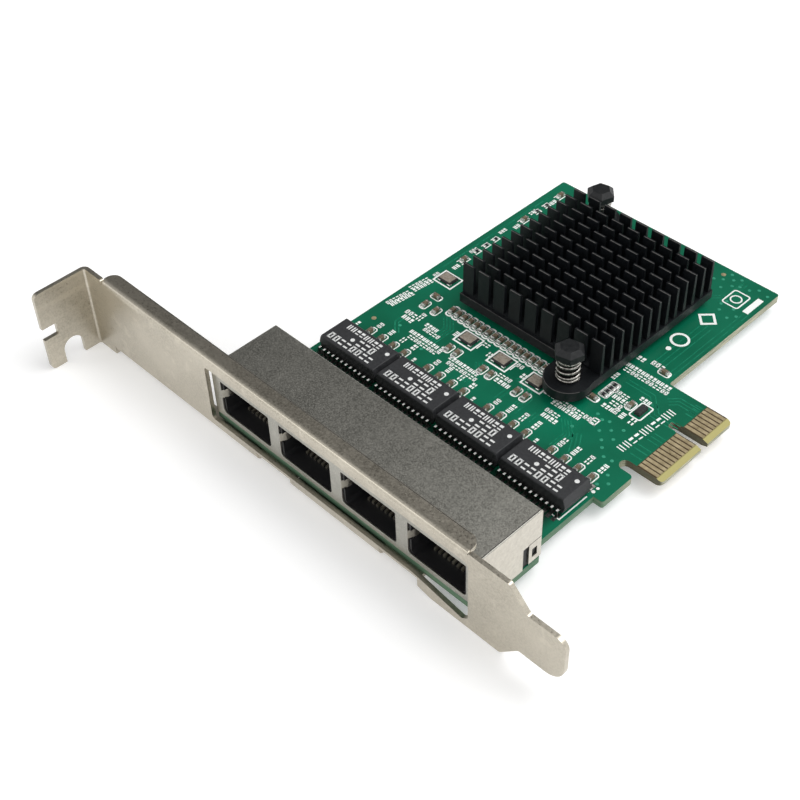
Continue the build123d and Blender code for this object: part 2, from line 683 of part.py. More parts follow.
def module_body(x):
    """Moulded block with sloping ends and softened long edges."""
    low = TOP + MODULE_STANDOFF
    high = TOP + MODULE_TOP
    half = MODULE_LENGTH / 2
    slope = MODULE_END_SLOPE
    side = [
        (x - half + slope, low, 0),
        (x + half - slope, low, 0),
        (x + half, (low + high) / 2, 0),
        (x + half - slope, high, 0),
        (x - half + slope, high, 0),
        (x - half, (low + high) / 2, 0),
    ]
    body = extrude(outline(Plane.XZ, side), amount=-MODULE_WIDTH)
    body = Pos(0, MODULE_FRONT, 0) * body
    top_edges = body.edges().filter_by(Axis.X).group_by(Axis.Z)[-1]
    return chamfer(top_edges, MODULE_END_SLOPE / 2)


def module_leads(x):
    """Gull-wing leads along both long sides of one module."""
    exit_top = TOP + LEAD_EXIT
    thick = LEAD_THICKNESS
    wing = [
        (0, exit_top, 0),
        (0, exit_top - thick, 0),
        (-LEAD_REACH + LEAD_FOOT - thick, exit_top - thick, 0),
        (-LEAD_REACH + LEAD_FOOT - thick, TOP, 0),
        (-LEAD_REACH, TOP, 0),
        (-LEAD_REACH, TOP + thick, 0),
        (-LEAD_REACH + LEAD_FOOT - 2 * thick, TOP + thick, 0),
        (-LEAD_REACH + LEAD_FOOT - 2 * thick, exit_top, 0),
    ]
    lead = extrude(outline(Plane.YZ, wing), amount=LEAD_WIDTH / 2, both=True)
    far_lead = mirror(lead, about=Plane.XZ)
    first = x - (LEADS_PER_SIDE - 1) / 2 * LEAD_PITCH
    leads = []
    for n in range(LEADS_PER_SIDE):
        lead_x = first + n * LEAD_PITCH
        leads.append(Pos(lead_x, MODULE_FRONT, 0) * lead)
        leads.append(Pos(lead_x, MODULE_FRONT + MODULE_WIDTH, 0) * far_lead)
    return leads


def heat_sink():
    """Plate with a lug for each pin, and fins cut across into blades; a low rib stays
    between the blades of one fin."""
    low = TOP + SINK_GAP
    top = TOP + SINK_TOP
    sink = block(SINK_LEFT, SINK_RIGHT, SINK_FRONT, SINK_REAR, low, LUG_TOP)
    for x, y in LUGS.values():
        sink += post(x, y, low, LUG_RADIUS, SINK_BASE)
        # A neck as wide as the lug joins it to the plate.
        neck_low, neck_high = sorted((y, SINK_CENTRE_Y))
        neck_left = max(x - LUG_RADIUS, SINK_LEFT)
        neck_right = min(x + LUG_RADIUS, SINK_RIGHT)
        sink += block(neck_left, neck_right, neck_low, neck_high, low, LUG_TOP)
    for x, y in LUGS.values():
        sink -= post(x, y, low, LUG_HOLE_RADIUS, SINK_BASE)
    first = SINK_FRONT + BLADE_FRONT_INSET + BLADE_FOOT / 2
    last = SINK_REAR - BLADE_REAR_INSET - BLADE_FOOT / 2
    left = SINK_LEFT + BLADE_END_INSET
    right = SINK_RIGHT - BLADE_END_INSET
    section = [
        (-BLADE_FOOT / 2, LUG_TOP, 0),
        (BLADE_FOOT / 2, LUG_TOP, 0),
        (BLADE_TIP / 2, top, 0),
        (-BLADE_TIP / 2, top, 0),
    ]
    fin = extrude(outline(Plane.YZ, section), amount=right - left)
    pitch = (last - first) / (BLADE_ROWS - 1)
    sink += [Pos(left, first + row * pitch, 0) * fin for row in range(BLADE_ROWS)]
    step = (right - left + BLADE_GAP) / BLADE_COLUMNS
    cuts = []
    for column in range(1, BLADE_COLUMNS):
        end = left + column * step
        cut = block(end - BLADE_GAP, end, SINK_FRONT, SINK_REAR, LUG_TOP + RIB_HEIGHT, top)
        cuts.append(cut)
    return sink - cuts


def push_pin(x, y):
    """Plastic pin with a faceted head above the spring and a split barb under the board."""
    head_low = TOP + PIN_TOP - PIN_HEAD_HEIGHT
    head = extrude(
        RegularPolygon(PIN_HEAD_ACROSS / 2, PIN_HEAD_SIDES, rotation=PIN_HEAD_TURN),
        PIN_HEAD_HEIGHT,
    )
    head = chamfer(head.edges().group_by(Axis.Z)[-1], PIN_DOME)
    shaft = post(0, 0, BOTTOM - head_low, PIN_RADIUS, head_low - BOTTOM)
    barb = [
        (0, 0, 0),
        (PIN_BARB_RADIUS, 0, 0),
        (PIN_BARB_RADIUS, -PIN_BARB_LENGTH / 4, 0),
        (PIN_RADIUS / 2, -PIN_BARB_LENGTH, 0),
        (0, -PIN_BARB_LENGTH, 0),
    ]
    tip = Pos(0, 0, BOTTOM - head_low) * revolve(outline(Plane.XZ, barb), Axis.Z)
    pin = head + shaft + tip
    split_low = BOTTOM - head_low - PIN_BARB_LENGTH
    radius = PIN_BARB_RADIUS
    half = PIN_SPLIT / 2
    pin -= block(-radius, radius, -half, half, split_low, split_low + PIN_BARB_LENGTH)
    return Pos(x, y, head_low) * pin


def pin_spring(x, y):
    """Coil spring between the lug and the pin's head."""
    radius = (COIL_OUTSIDE - COIL_WIRE) / 2
    low = LUG_TOP + COIL_WIRE / 2
    high = TOP + PIN_TOP - PIN_HEAD_HEIGHT - COIL_WIRE / 2
    height = high - low
    path = Helix(height / COIL_TURNS, height, radius)
    start = Plane(origin=path @ 0, z_dir=path % 0)
    wire = RegularPolygon(COIL_WIRE / 2, COIL_WIRE_SIDES)
    return Pos(x, y, low) * sweep(start * wire, path=path)


def controller_chips():
    """Flat chips under the heat sink: the lane switch and one chip for each port."""
    x, y = SINK_CENTRE_X, SINK_CENTRE_Y
    chips = []
    for dx, dy, side in (
        (0, 0, SWITCH_SIDE),
        (-PORT_CHIP_OFF, -PORT_CHIP_OFF, PORT_CHIP_SIDE),
        (PORT_CHIP_OFF, -PORT_CHIP_OFF, PORT_CHIP_SIDE),
        (-PORT_CHIP_OFF, PORT_CHIP_OFF, PORT_CHIP_SIDE),
        (PORT_CHIP_OFF, PORT_CHIP_OFF, PORT_CHIP_SIDE),
    ):
        half = side / 2
        left = x + dx - half
        front = y + dy - half
        chips.append(block(left, left + side, front, front + side, TOP, TOP + CHIP_HEIGHT))
    return chips


def thermal_pad():
    half = PAD_SHEET_SIDE / 2
    x, y = SINK_CENTRE_X, SINK_CENTRE_Y
    return block(x - half, x + half, y - half, y + half, TOP + CHIP_HEIGHT, TOP + SINK_GAP)


def crystal(x, y):
    """Ceramic tray with a metal lid set inside its rim."""
    half_x = CRYSTAL_LENGTH / 2
    half_y = CRYSTAL_WIDTH / 2
    shoulder = TOP + CRYSTAL_HEIGHT - CRYSTAL_LID
    tray = block(x - half_x, x + half_x, y - half_y, y + half_y, TOP, shoulder)
    half_x -= CRYSTAL_RIM
    half_y -= CRYSTAL_RIM
    lid = block(x - half_x, x + half_x, y - half_y, y + half_y, shoulder, TOP + CRYSTAL_HEIGHT)
    return tray + fillet(lid.edges().filter_by(Axis.Z), CRYSTAL_RIM)


def capacitor(x, y, along_x=False):
    """Chip capacitor lying across or along the card, with softened ends."""
    length, width = (CAP_LENGTH, CAP_WIDTH) if along_x else (CAP_WIDTH, CAP_LENGTH)
    return block(
        x - length / 2, x + length / 2, y - width / 2, y + width / 2, TOP, TOP + CAP_HEIGHT
    )


def resistor(x, y, along_x=False):
    """Flat chip resistor lying across or along the card."""
    length, width = (RES_LENGTH, RES_WIDTH) if along_x else (RES_WIDTH, RES_LENGTH)
    return block(
        x - length / 2, x + length / 2, y - width / 2, y + width / 2, TOP, TOP + RES_HEIGHT
    )


def module_capacitors():
    """One capacitor for each winding, in a row behind every module."""
    y = MODULE_FRONT + MODULE_WIDTH + MODULE_CAP_BEHIND
    row = []
    for middle in MODULE_XS:
        first = middle + MODULE_CAP_RIGHT - (MODULE_CAPS - 1) / 2 * MODULE_CAP_PITCH
        row += [capacitor(first + n * MODULE_CAP_PITCH, y) for n in range(MODULE_CAPS)]
    return row


def sink_capacitors():
    """Close row along the heat sink's front edge."""
    y = SINK_FRONT - SINK_CAP_IN_FRONT
    return [capacitor(SINK_LEFT + n * SINK_CAP_PITCH, y) for n in range(SINK_CAPS)]


def crystal_capacitors():
    """A pair in front of each crystal, and one pair beside the first."""
    pairs = []
    for x, y in CRYSTALS[1:]:
        pair_y = y - PAIR_IN_FRONT_OF_CRYSTAL
        pairs.append(capacitor(x - PAIR_SPACING / 2, pair_y))
        pairs.append(capacitor(x + PAIR_SPACING / 2, pair_y))
    x, y = CRYSTALS[0]
    pair_y = y - 2 * PAIR_IN_FRONT_OF_CRYSTAL
    pairs.append(capacitor(x + PAIR_SPACING, pair_y))
    pairs.append(capacitor(x + LEFT_PAIR_RIGHT, pair_y))
    pairs.append(capacitor(x + PAIR_SPACING, pair_y + LEFT_PAIR_FLAT_BEHIND, along_x=True))
    return pairs


def left_edge_capacitors():
    """Loose column beside the heat sink, along the board's left edge."""
    x = BOARD_LEFT + LEFT_CHIP_FROM_EDGE
    return [capacitor(x, SINK_FRONT + offset) for offset in LEFT_CAPS_FROM_SINK_FRONT]


def left_edge_resistors():
    """Small resistors between the capacitors of the left column."""
    x = BOARD_LEFT + LEFT_CHIP_FROM_EDGE
    return [resistor(x, SINK_FRONT + offset) for offset in LEFT_RESISTORS_FROM_SINK_FRONT]


def resistor_network():
    """Four resistors side by side at the heat sink's front right corner."""
    x = SINK_RIGHT + NETWORK_FROM_SINK
    first = SINK_FRONT + NETWORK_BEHIND_FRONT
    return [
        resistor(x, first + n * NETWORK_PITCH, along_x=True) for n in range(NETWORK_CHIPS)
    ]


def supply_capacitors():
    """Capacitors of the supply corner, near the key of the edge."""
    flat = [
        capacitor(SINK_RIGHT + dx, SINK_FRONT + dy, along_x=True) for dx, dy in SUPPLY_FLAT_CAPS
    ]
    cross = [capacitor(SINK_RIGHT + dx, SINK_FRONT + dy) for dx, dy in SUPPLY_CROSS_CAPS]
    return flat + cross


def supply_regulator():
    """Small moulded regulator with sloping sides."""
    x = SINK_RIGHT + REGULATOR_FROM_SINK
    y = SINK_FRONT + REGULATOR_BEHIND_FRONT
    foot = Rectangle(REGULATOR_LENGTH, REGULATOR_WIDTH)
    return Pos(x, y, TOP) * extrude(foot, amount=REGULATOR_HEIGHT, taper=REGULATOR_DRAFT)


def save(name, shape):
    """Write one piece, or a group of equal pieces, in the card's own frame."""
    pieces = shape if isinstance(shape, list) else [shape]
    placed = [PLACE * piece for piece in pieces]
    whole = placed[0] if len(placed) == 1 else Compound(children=placed)
    export_step(whole, f"parts/{name}.step")


os.makedirs("parts", exist_ok=True)
save("slot_bracket", slot_bracket())
save("bracket_screws", bracket_screws())
save("circuit_board", circuit_board())
save("edge_contacts_top", edge_contacts(below=False))
save("edge_contacts_bottom", edge_contacts(below=True))
save("jack_shield", jack_shield())
save("jack_housing", jack_housing())
save("jack_tails", jack_tails())
for number, x in enumerate(PORT_XS, start=1):
    save(f"jack_contacts_{number}", jack_contacts(x))
for number, x in enumerate(MODULE_XS, start=1):
    save(f"magnetics_{number}", module_body(x))
    save(f"magnetics_leads_{number}", module_leads(x))
save("heat_sink", heat_sink())
for side, (x, y) in LUGS.items():
    save(f"push_pin_{side}", push_pin(x, y))
    save(f"pin_spring_{side}", pin_spring(x, y))
save("controller_chips", controller_chips())
save("thermal_pad", thermal_pad())
for number, (x, y) in enumerate(CRYSTALS, start=1):
    save(f"crystal_{number}", crystal(x, y))
save("module_capacitors", module_capacitors())
save("sink_capacitors", sink_capacitors())
save("crystal_capacitors", crystal_capacitors())
save("left_edge_capacitors", left_edge_capacitors())
save("left_edge_resistors", left_edge_resistors())
save("resistor_network", resistor_network())
save("supply_capacitors", supply_capacitors())
save("supply_regulator", supply_regulator())
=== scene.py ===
# %% [markdown]
# # A network interface card, dressed in Blender
# The card is a green circuit board behind a bent steel bracket. A row of four jacks sits in a
# folded shield, four black modules stand behind it, and a black heat sink with two sprung
# pins covers the controller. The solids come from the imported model, as a fixed frame in
# metres. This lesson gives them finishes and adds what is too thin for the solids: print,
# copper, solder and eased edges. Another way would be to model everything here, but then the
# sizes could drift from the real ones, so the frame stays the master.

import json
import math

import bmesh
import bpy
import numpy as np
from mathutils import Matrix, Vector


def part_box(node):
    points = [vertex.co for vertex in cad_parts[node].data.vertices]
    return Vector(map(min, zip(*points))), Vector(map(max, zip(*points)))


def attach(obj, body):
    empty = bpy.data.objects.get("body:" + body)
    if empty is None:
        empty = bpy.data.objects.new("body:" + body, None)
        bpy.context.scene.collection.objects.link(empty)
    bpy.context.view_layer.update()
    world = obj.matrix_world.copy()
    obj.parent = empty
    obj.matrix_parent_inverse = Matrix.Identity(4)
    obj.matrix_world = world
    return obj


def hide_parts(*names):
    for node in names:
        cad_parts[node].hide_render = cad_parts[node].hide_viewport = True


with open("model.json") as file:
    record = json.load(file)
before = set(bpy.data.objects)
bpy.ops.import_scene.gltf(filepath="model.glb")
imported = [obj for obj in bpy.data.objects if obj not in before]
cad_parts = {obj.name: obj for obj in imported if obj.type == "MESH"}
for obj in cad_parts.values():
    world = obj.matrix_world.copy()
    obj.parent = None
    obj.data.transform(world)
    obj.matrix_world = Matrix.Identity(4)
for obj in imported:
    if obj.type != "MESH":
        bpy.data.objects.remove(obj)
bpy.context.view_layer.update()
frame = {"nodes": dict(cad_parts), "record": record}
scene = bpy.context.scene
print("nodes in the frame:", len(frame["nodes"]))

# %% [markdown]
# ## Where things are
# The drawing of the card measures in millimetres: x from the bracket's screw tab, y from the
# bracket's outer face into the machine, z from the bracket's centre line. Boxes of the frame
# are read in these millimetres, and new points go back to the frame's metres by the same
# offsets. Those come from the bracket's own box, so no number has to be fitted by eye.

# %% Millimetres on the card
MM = 0.001
TAB_DEPTH = 11.43
bracket_low, bracket_high = (np.array(corner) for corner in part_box("slot_bracket"))
ORIGIN = bracket_low / MM
ORIGIN[1] += TAB_DEPTH
ORIGIN[2] = (bracket_low[2] + bracket_high[2]) / 2 / MM


def on_card(node):
    """Lowest and highest corner of a node in the card's millimetres: metres over a
    thousandth, less the origin."""
    low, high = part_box(node)
    return np.array(low) / MM - ORIGIN, np.array(high) / MM - ORIGIN


def four(name):
    """Names of the four nodes of a kind."""
    return [f"{name}_{number}" for number in range(1, 5)]


BOARD_LOW, BOARD_HIGH = on_card("circuit_board")
TOP = float(BOARD_HIGH[2])
BOTTOM = float(BOARD_LOW[2])
SINK_LOW, SINK_HIGH = on_card("heat_sink")
print("board top at", round(TOP, 3), "mm, heat sink", SINK_LOW.round(2), "to", SINK_HIGH.round(2))

# %% [markdown]
# ## Finishes
# A real surface is never one flat colour. Each finish starts from the Principled shader and
# gets grain, wear or mottling from noise in Object coordinates, so that a pattern stays on
# the piece from any side. Image textures would need files and fixed views, so none are used.


# %% Finish helpers
def fill(material, socket, value):
    """Links an output to a socket, or sets a value on it; a colour gets an alpha of 1."""
    if isinstance(value, bpy.types.NodeSocket):
        material.node_tree.links.new(value, socket)
    else:
        socket.default_value = (*value, 1) if socket.type == "RGBA" else value


def fill_all(material, node, **inputs):
    """Fills each named input of a node."""
    for name, value in inputs.items():
        fill(material, node.inputs[name.replace("_", " ")], value)


def node_of(material, kind, **inputs):
    """New shader node with the given inputs."""
    node = material.node_tree.nodes.new("ShaderNode" + kind)
    fill_all(material, node, **inputs)
    return node


def to_shader(material, **inputs):
    """Fills the named sockets of the Principled shader."""
    fill_all(material, material.node_tree.nodes["Principled BSDF"], **inputs)


def finish(name, colour, rough=0.5, metal=0.0, **sockets):
    """New material with its Principled shader; constant values go straight on the sockets."""
    material = bpy.data.materials.new(name)
    material.use_nodes = True
    to_shader(material, Base_Color=colour, Roughness=rough, Metallic=metal, **sockets)
    return material


def grain(material, scale, detail=3.0, stretch=(1, 1, 1)):
    """Noise on Object coordinates, scale given in waves per metre; its output is 0 to 1."""
    place = node_of(material, "TexCoord").outputs["Object"]
    mapping = node_of(material, "Mapping", Vector=place, Scale=stretch).outputs[0]
    noise = node_of(material, "TexNoise", Vector=mapping, Scale=scale, Detail=detail)
    return noise.outputs["Fac"]


def along(material, axis):
    """One of the Object coordinates, in metres of the frame."""
    place = node_of(material, "TexCoord").outputs["Object"]
    return node_of(material, "SeparateXYZ", Vector=place).outputs[axis]


def facing(material):
    """The surface's normal, as its parts X, Y and Z."""
    normal = node_of(material, "NewGeometry").outputs["Normal"]
    return node_of(material, "SeparateXYZ", Vector=normal).outputs


def ramp(material, value, *stops):
    """Colours at places along a 0 to 1 value, each stop a place and a colour."""
    node = node_of(material, "ValToRGB", Fac=value)
    band = node.color_ramp
    while len(band.elements) < len(stops):
        band.elements.new(0.5)
    for element, (place, colour) in zip(band.elements, stops):
        element.position = place
        element.color = (*colour, 1)
    return node.outputs["Color"]


def level(material, value, low, high, start=0.3, end=0.7):
    """A value spread over a range: low at the start, high at the end, clamped outside."""
    ends = {"From_Min": start, "From_Max": end, "To_Min": low, "To_Max": high}
    return node_of(material, "MapRange", Value=value, **ends).outputs["Result"]


def combine(material, operation, first, second):
    """Arithmetic on two values; a number may stand in for either."""
    node = node_of(material, "Math")
    node.operation = operation
    fill(material, node.inputs[0], first)
    fill(material, node.inputs[1], second)
    return node.outputs[0]


def product(material, *values):
    """Values from 0 to 1 multiplied: 1 only where all of them are."""
    result = values[0]
    for value in values[1:]:
        result = combine(material, "MULTIPLY", result, value)
    return result


def place_on(material, axis, start, end, low=0, high=1):
    """A value that goes from low to high between two places along X or Y. The places are in the
    card's millimetres, and the frame has them at (place + origin) / 1000."""
    shift = ORIGIN["XY".index(axis)]
    start, end = (start + shift) * MM, (end + shift) * MM
    return level(material, along(material, axis), low, high, start, end)


def mixed(material, value, first, second):
    """First colour where the value is 0, second where it is 1; both may be outputs."""
    node = node_of(material, "Mix", Factor=value)
    node.data_type = "RGBA"
    fill(material, node.inputs[6], first)
    fill(material, node.inputs[7], second)
    return node.outputs[2]


def bump(material, height, strength, distance):
    """Turns a height value into a slight relief of the surface."""
    node = node_of(material, "Bump", Strength=strength, Distance=distance, Height=height)
    to_shader(material, Normal=node.outputs["Normal"])


# %% [markdown]
# ## Steel of the bracket and the shield
# The bracket is nickel plated over rolled steel: warm, bright, a little cloudy where hands and
# tumbling have touched it. The shield is tin plated and duller, with a coarser grain, and both
# are rubbed brighter in short streaks. Metal takes its look from what it mirrors, so roughness
# does most of the work here and colour the rest. Only the shield's short end, the side that
# faces right, is painted paler as painted light.

# %% Plated steel
def plated(name, dark, light, rough, fine_scale, relief):
    """Metal whose colour follows fine noise between two tones and is lifted in slow clouds,
    while the same fine noise sets its roughness and a faint relief; stretched noise adds
    rubbed streaks."""
    steel = finish(name, light, rough[0], 1.0)
    fine = grain(steel, fine_scale)
    tones = ramp(steel, fine, (0.36, dark), (0.64, light))
    cloud = level(steel, grain(steel, 130, 4), 0, 0.55, 0.35, 0.7)
    clouded = mixed(steel, cloud, tones, tuple(1.12 * c for c in light))
    streak = level(steel, grain(steel, 420, 5, (1, 0.08, 1)), 0, 0.4, 0.57, 0.7)
    streaked = mixed(steel, streak, clouded, tuple(min(1, 1.25 * c) for c in light))
    to_shader(steel, Base_Color=streaked, Roughness=level(steel, fine, *rough))
    bump(steel, fine, relief, 0.00003)
    return steel


bracket_steel = plated(
    "plated_bracket_steel", (0.43, 0.395, 0.325), (0.545, 0.505, 0.425), (0.27, 0.40), 2900, 0.0
)
shield_steel = plated(
    "plated_shield_steel", (0.31, 0.305, 0.27), (0.455, 0.445, 0.40), (0.28, 0.48), 4200, 0.4
)
screw_steel = plated(
    "bright_screw_steel", (0.5, 0.48, 0.44), (0.66, 0.64, 0.6), (0.2, 0.34), 3000, 0.1
)
print("nodes in the bracket's finish:", len(bracket_steel.node_tree.nodes))

# %% Painted light on the shield's end
# Painted light: faces turned toward +x, the shield's short end, get a paler tone.
shield_shader = shield_steel.node_tree.nodes["Principled BSDF"]
tone = shield_shader.inputs["Base Color"].links[0].from_socket
lit_side_stops = (0.3, (0.58, 0.545, 0.48)), (0.7, (0.68, 0.645, 0.57))
lit_side_tone = ramp(shield_steel, grain(shield_steel, 1500), *lit_side_stops)
lit_side = level(shield_steel, facing(shield_steel)["X"], 0, 1, 0.85, 0.95)
to_shader(shield_steel, Base_Color=mixed(shield_steel, lit_side, tone, lit_side_tone))
print("nodes in the shield's finish:", len(shield_steel.node_tree.nodes))

# %% [markdown]
# ## The board
# Green solder mask lies over copper and glass fibre. The mask is thin and glossy, shows the
# weave below as a faint relief, and is dark in the band between the jacks and the modules,
# where little light falls. Past the mask's end the card edge is bare: dark between the pads,
# pale olive-gold at the bevelled tip. The cut sides are dull, in fine layers, greener toward
# the front and dark in the key slot. One material does all this by asking where it is: x and y
# along the card pick the band and the bare part, and the normal tells the faces from the sides.

# %% Solder mask
MASK_END, PAD_END = 99.75, 104.05
board_mask = finish("green_solder_mask", (0.003, 0.13, 0.065), 0.3, Specular_IOR_Level=0.35)
mask_stops = (0.35, (0.0008, 0.112, 0.056)), (0.7, (0.0015, 0.158, 0.082))
mask_tone = ramp(board_mask, grain(board_mask, 70, 5), *mask_stops)
# Painted shade: the mask is darkened in the band between the jacks and the modules.
in_shade = product(
    board_mask,
    place_on(board_mask, "Y", 16.6, 17.4, 0, 0.9),
    place_on(board_mask, "Y", 25.4, 26.4, 1, 0),
    place_on(board_mask, "X", 36.5, 38.5),
    place_on(board_mask, "X", 96.0, 98.0, 1, 0),
)
mask_tone = mixed(board_mask, in_shade, mask_tone, (0.0008, 0.014, 0.008))

# %% Bare laminate past the mask
BEVEL = 0.15
to_tip = place_on(board_mask, "X", PAD_END - BEVEL, PAD_END + BEVEL)
bare = ramp(board_mask, to_tip, (0, (0.06, 0.036, 0.015)), (1, (0.42, 0.38, 0.145)))
at_tongue = place_on(board_mask, "Y", 42.9, 43.0)
is_bare = product(
    board_mask,
    place_on(board_mask, "X", MASK_END, MASK_END + 0.05),
    at_tongue,
    place_on(board_mask, "Y", 63.8, 63.9, 1, 0),
)
faces_tone = mixed(board_mask, is_bare, mask_tone, bare)

# %% Cut sides
layers = grain(board_mask, 900, 3, (0.25, 0.25, 5))
cut_stops = (0.3, (0.20, 0.21, 0.14)), (0.55, (0.42, 0.42, 0.31)), (0.75, (0.55, 0.50, 0.36))
cut_tone = ramp(board_mask, layers, *cut_stops)
toward_front = place_on(board_mask, "Y", 32, 44, 0.75, 0)
cut_tone = mixed(board_mask, toward_front, cut_tone, (0.02, 0.14, 0.075))
normal = facing(board_mask)
to_front = level(board_mask, normal["Y"], 0, 0.85, -0.5, -0.9)
in_slot = product(board_mask, to_front, at_tongue)
cut_tone = mixed(board_mask, in_slot, cut_tone, (0.055, 0.045, 0.02))
upright = combine(board_mask, "ABSOLUTE", normal["Z"], 0)
is_cut = level(board_mask, upright, 1, 0, 0.3, 0.5)
is_dull = combine(board_mask, "MAXIMUM", is_cut, is_bare)
to_shader(
    board_mask,
    Base_Color=mixed(board_mask, is_cut, faces_tone, cut_tone),
    Roughness=level(board_mask, is_dull, 0.3, 0.65, 0, 1),
)
bump(board_mask, grain(board_mask, 1600, 2), 0.12, 0.00002)
print("nodes in the board's finish:", len(board_mask.node_tree.nodes))

# %% [markdown]
# ## Plastics, gold and the small parts
# Black parts differ mostly in how they break up the light: the moulded modules are dull with
# a fine grain, the anodised heat sink a little silky, the nylon pins smoother. The gold of
# the edge is pale and rubbed by the slot. Ceramics are speckled, and tin is bright and lumpy,
# with a dark copy for the leads that stand in shade.

# %% Plastics and ceramics
def speckled(name, dark, light, rough, scale, relief=0.15, metal=0.0, **sockets):
    """Dull material whose colour and relief follow the same fine noise."""
    material = finish(name, light, rough, metal, **sockets)
    noise = grain(material, scale, 4)
    spread = level(material, noise, rough * 0.85, min(1, rough * 1.2))
    tone = ramp(material, noise, (0.35, dark), (0.65, light))
    to_shader(material, Base_Color=tone, Roughness=spread)
    bump(material, noise, relief, 0.00002)
    return material


housing_black = speckled(
    "jack_housing_black", (0.006, 0.006, 0.007), (0.013, 0.013, 0.014), 0.5, 2500
)
module_black = speckled(
    "module_charcoal", (0.016, 0.017, 0.019), (0.030, 0.031, 0.034), 0.55, 2200, 0.3
)
pin_tones = (0.008, 0.009, 0.010), (0.016, 0.017, 0.018)
pin_black = speckled("pin_nylon_black", *pin_tones, 0.36, 1500, Specular_IOR_Level=0.28)
chip_black = speckled("chip_epoxy", (0.016, 0.016, 0.017), (0.030, 0.030, 0.032), 0.5, 3000)
sink_tones = (0.004, 0.005, 0.0062), (0.008, 0.0095, 0.0112)
sink_black = speckled("anodised_black", *sink_tones, 0.4, 2800, 0.3, Specular_IOR_Level=0.3)
# Painted highlight: a grey tone for thin strips along the heat sink's edges.
sink_edge_highlight = speckled("painted_fin_highlight", (0.075, 0.072, 0.070), (0.13, 0.125, 0.12), 0.4, 2600)
pad_grey = speckled("thermal_pad_grey", (0.30, 0.32, 0.35), (0.40, 0.42, 0.45), 0.8, 900)
cap_ceramic = speckled("capacitor_ceramic", (0.11, 0.085, 0.055), (0.20, 0.155, 0.10), 0.5, 4000)
resistor_black = speckled("resistor_glaze", (0.010, 0.010, 0.013), (0.025, 0.025, 0.03), 0.32, 4000)
mark_white = speckled("white_print", (0.93, 0.95, 0.92), (0.98, 0.99, 0.97), 0.5, 5200, 0.05)
print_tones = (0.62, 0.63, 0.62), (0.86, 0.87, 0.86)
module_print = speckled("pale_module_print", *print_tones, 0.55, 4200, 0.1)
copper_tones = (0.004, 0.175, 0.092), (0.010, 0.235, 0.130)
copper_mask = speckled("mask_over_copper", *copper_tones, 0.26, 900, 0.05)
via_mask = speckled("mask_over_vias", (0.020, 0.25, 0.15), (0.05, 0.36, 0.225), 0.3, 3000, 0.1)

# %% Gold, tin and wire
def bright(name, dark, light, rough, scale):
    """Metal with a mottled tone and roughness from one noise."""
    metal = finish(name, light, rough[0], 1.0)
    noise = grain(metal, scale, 4)
    tone = ramp(metal, noise, (0.35, dark), (0.65, light))
    to_shader(metal, Base_Color=tone, Roughness=level(metal, noise, *rough))
    return metal


contact_gold = speckled("edge_gold", (0.47, 0.38, 0.22), (0.62, 0.51, 0.31), 0.32, 900, 0.05, 0.55)
contact_wire = bright("contact_wire_gold", (0.50, 0.46, 0.36), (0.70, 0.65, 0.52), (0.3, 0.4), 1500)
solder_tin = bright("solder_tin", (0.52, 0.52, 0.50), (0.80, 0.79, 0.76), (0.2, 0.36), 2600)
# Painted shade: a darker copy of the tin for the leads and the solder on the jacks' side.
shade_tones = (0.07, 0.07, 0.068), (0.17, 0.17, 0.16)
shaded_tin = bright("solder_in_shade", *shade_tones, (0.3, 0.45), 2600)
# Painted glint: a pale tone for the lead shoulders.
lead_glint = speckled("painted_lead_glint", (0.74, 0.75, 0.72), (0.92, 0.92, 0.90), 0.4, 2600, 0.05)
spring_steel = bright("spring_wire", (0.20, 0.19, 0.175), (0.50, 0.485, 0.45), (0.14, 0.22), 2600)
lid_tones = (0.30, 0.255, 0.205), (0.45, 0.395, 0.33)
crystal_can = speckled("crystal_lid", *lid_tones, 0.38, 2600, 0.1, 0.35)
# Dark seams and cuts, and painted shade along the bracket's fold edge.
seam_and_shade_line = speckled("dark_seams_and_shade", (0.03, 0.029, 0.026), (0.07, 0.066, 0.06), 0.6, 3000)

# %% Finishes on the frame's own nodes
FINISHES = dict(
    bracket_steel=bracket_steel, shield_steel=shield_steel, screw_steel=screw_steel,
    board_mask=board_mask, contact_gold=contact_gold, housing_black=housing_black,
    contact_wire=contact_wire, solder_tin=solder_tin, module_black=module_black,
    sink_black=sink_black, pin_black=pin_black, spring_steel=spring_steel, chip_black=chip_black,
    pad_grey=pad_grey, crystal_can=crystal_can, cap_ceramic=cap_ceramic,
    resistor_black=resistor_black,
)
slot_of = {row["node"]: row["material_slot"] for row in frame["record"]["subparts"]}
for node, piece in frame["nodes"].items():
    piece.data.materials.clear()
    piece.data.materials.append(FINISHES[slot_of[node]])
print("finishes:", len(FINISHES))

# %% [markdown]
# ## Putting arrays into meshes
# Every new piece is worked out with numpy, as an array of points and an array of faces. It
# could be modelled by hand, but arrays repeat a shape hundreds of times without a slip. All
# faces are quads; a shape that needs a triangle or a round lid gets it from a ring that
# shrinks to its middle.


# %% Shapes as arrays
def joined(shapes):
    """One (points, faces) shape from several: each one's face numbers move up by the number
    of points before it."""
    counts = np.cumsum([0] + [len(points) for points, _ in shapes[:-1]])
    points = np.concatenate([points for points, _ in shapes])
    return points, np.concatenate([faces + n for (_, faces), n in zip(shapes, counts)])


def copies(shape, places, turn=0.0):
    """The shape turned about the upright axis by an angle and moved to each place: the point
    array is broadcast over the places, and the face numbers step by the point count."""
    points, faces = shape
    c, s = math.cos(turn), math.sin(turn)
    turned_points = points @ np.array([[c, s, 0], [-s, c, 0], [0, 0, 1]])
    places = np.asarray(places, float).reshape(-1, 3)
    steps = np.arange(len(places)) * len(points)
    moved = (turned_points[None] + places[:, None]).reshape(-1, 3)
    return moved, (faces[None] + steps[:, None, None]).reshape(-1, 4)


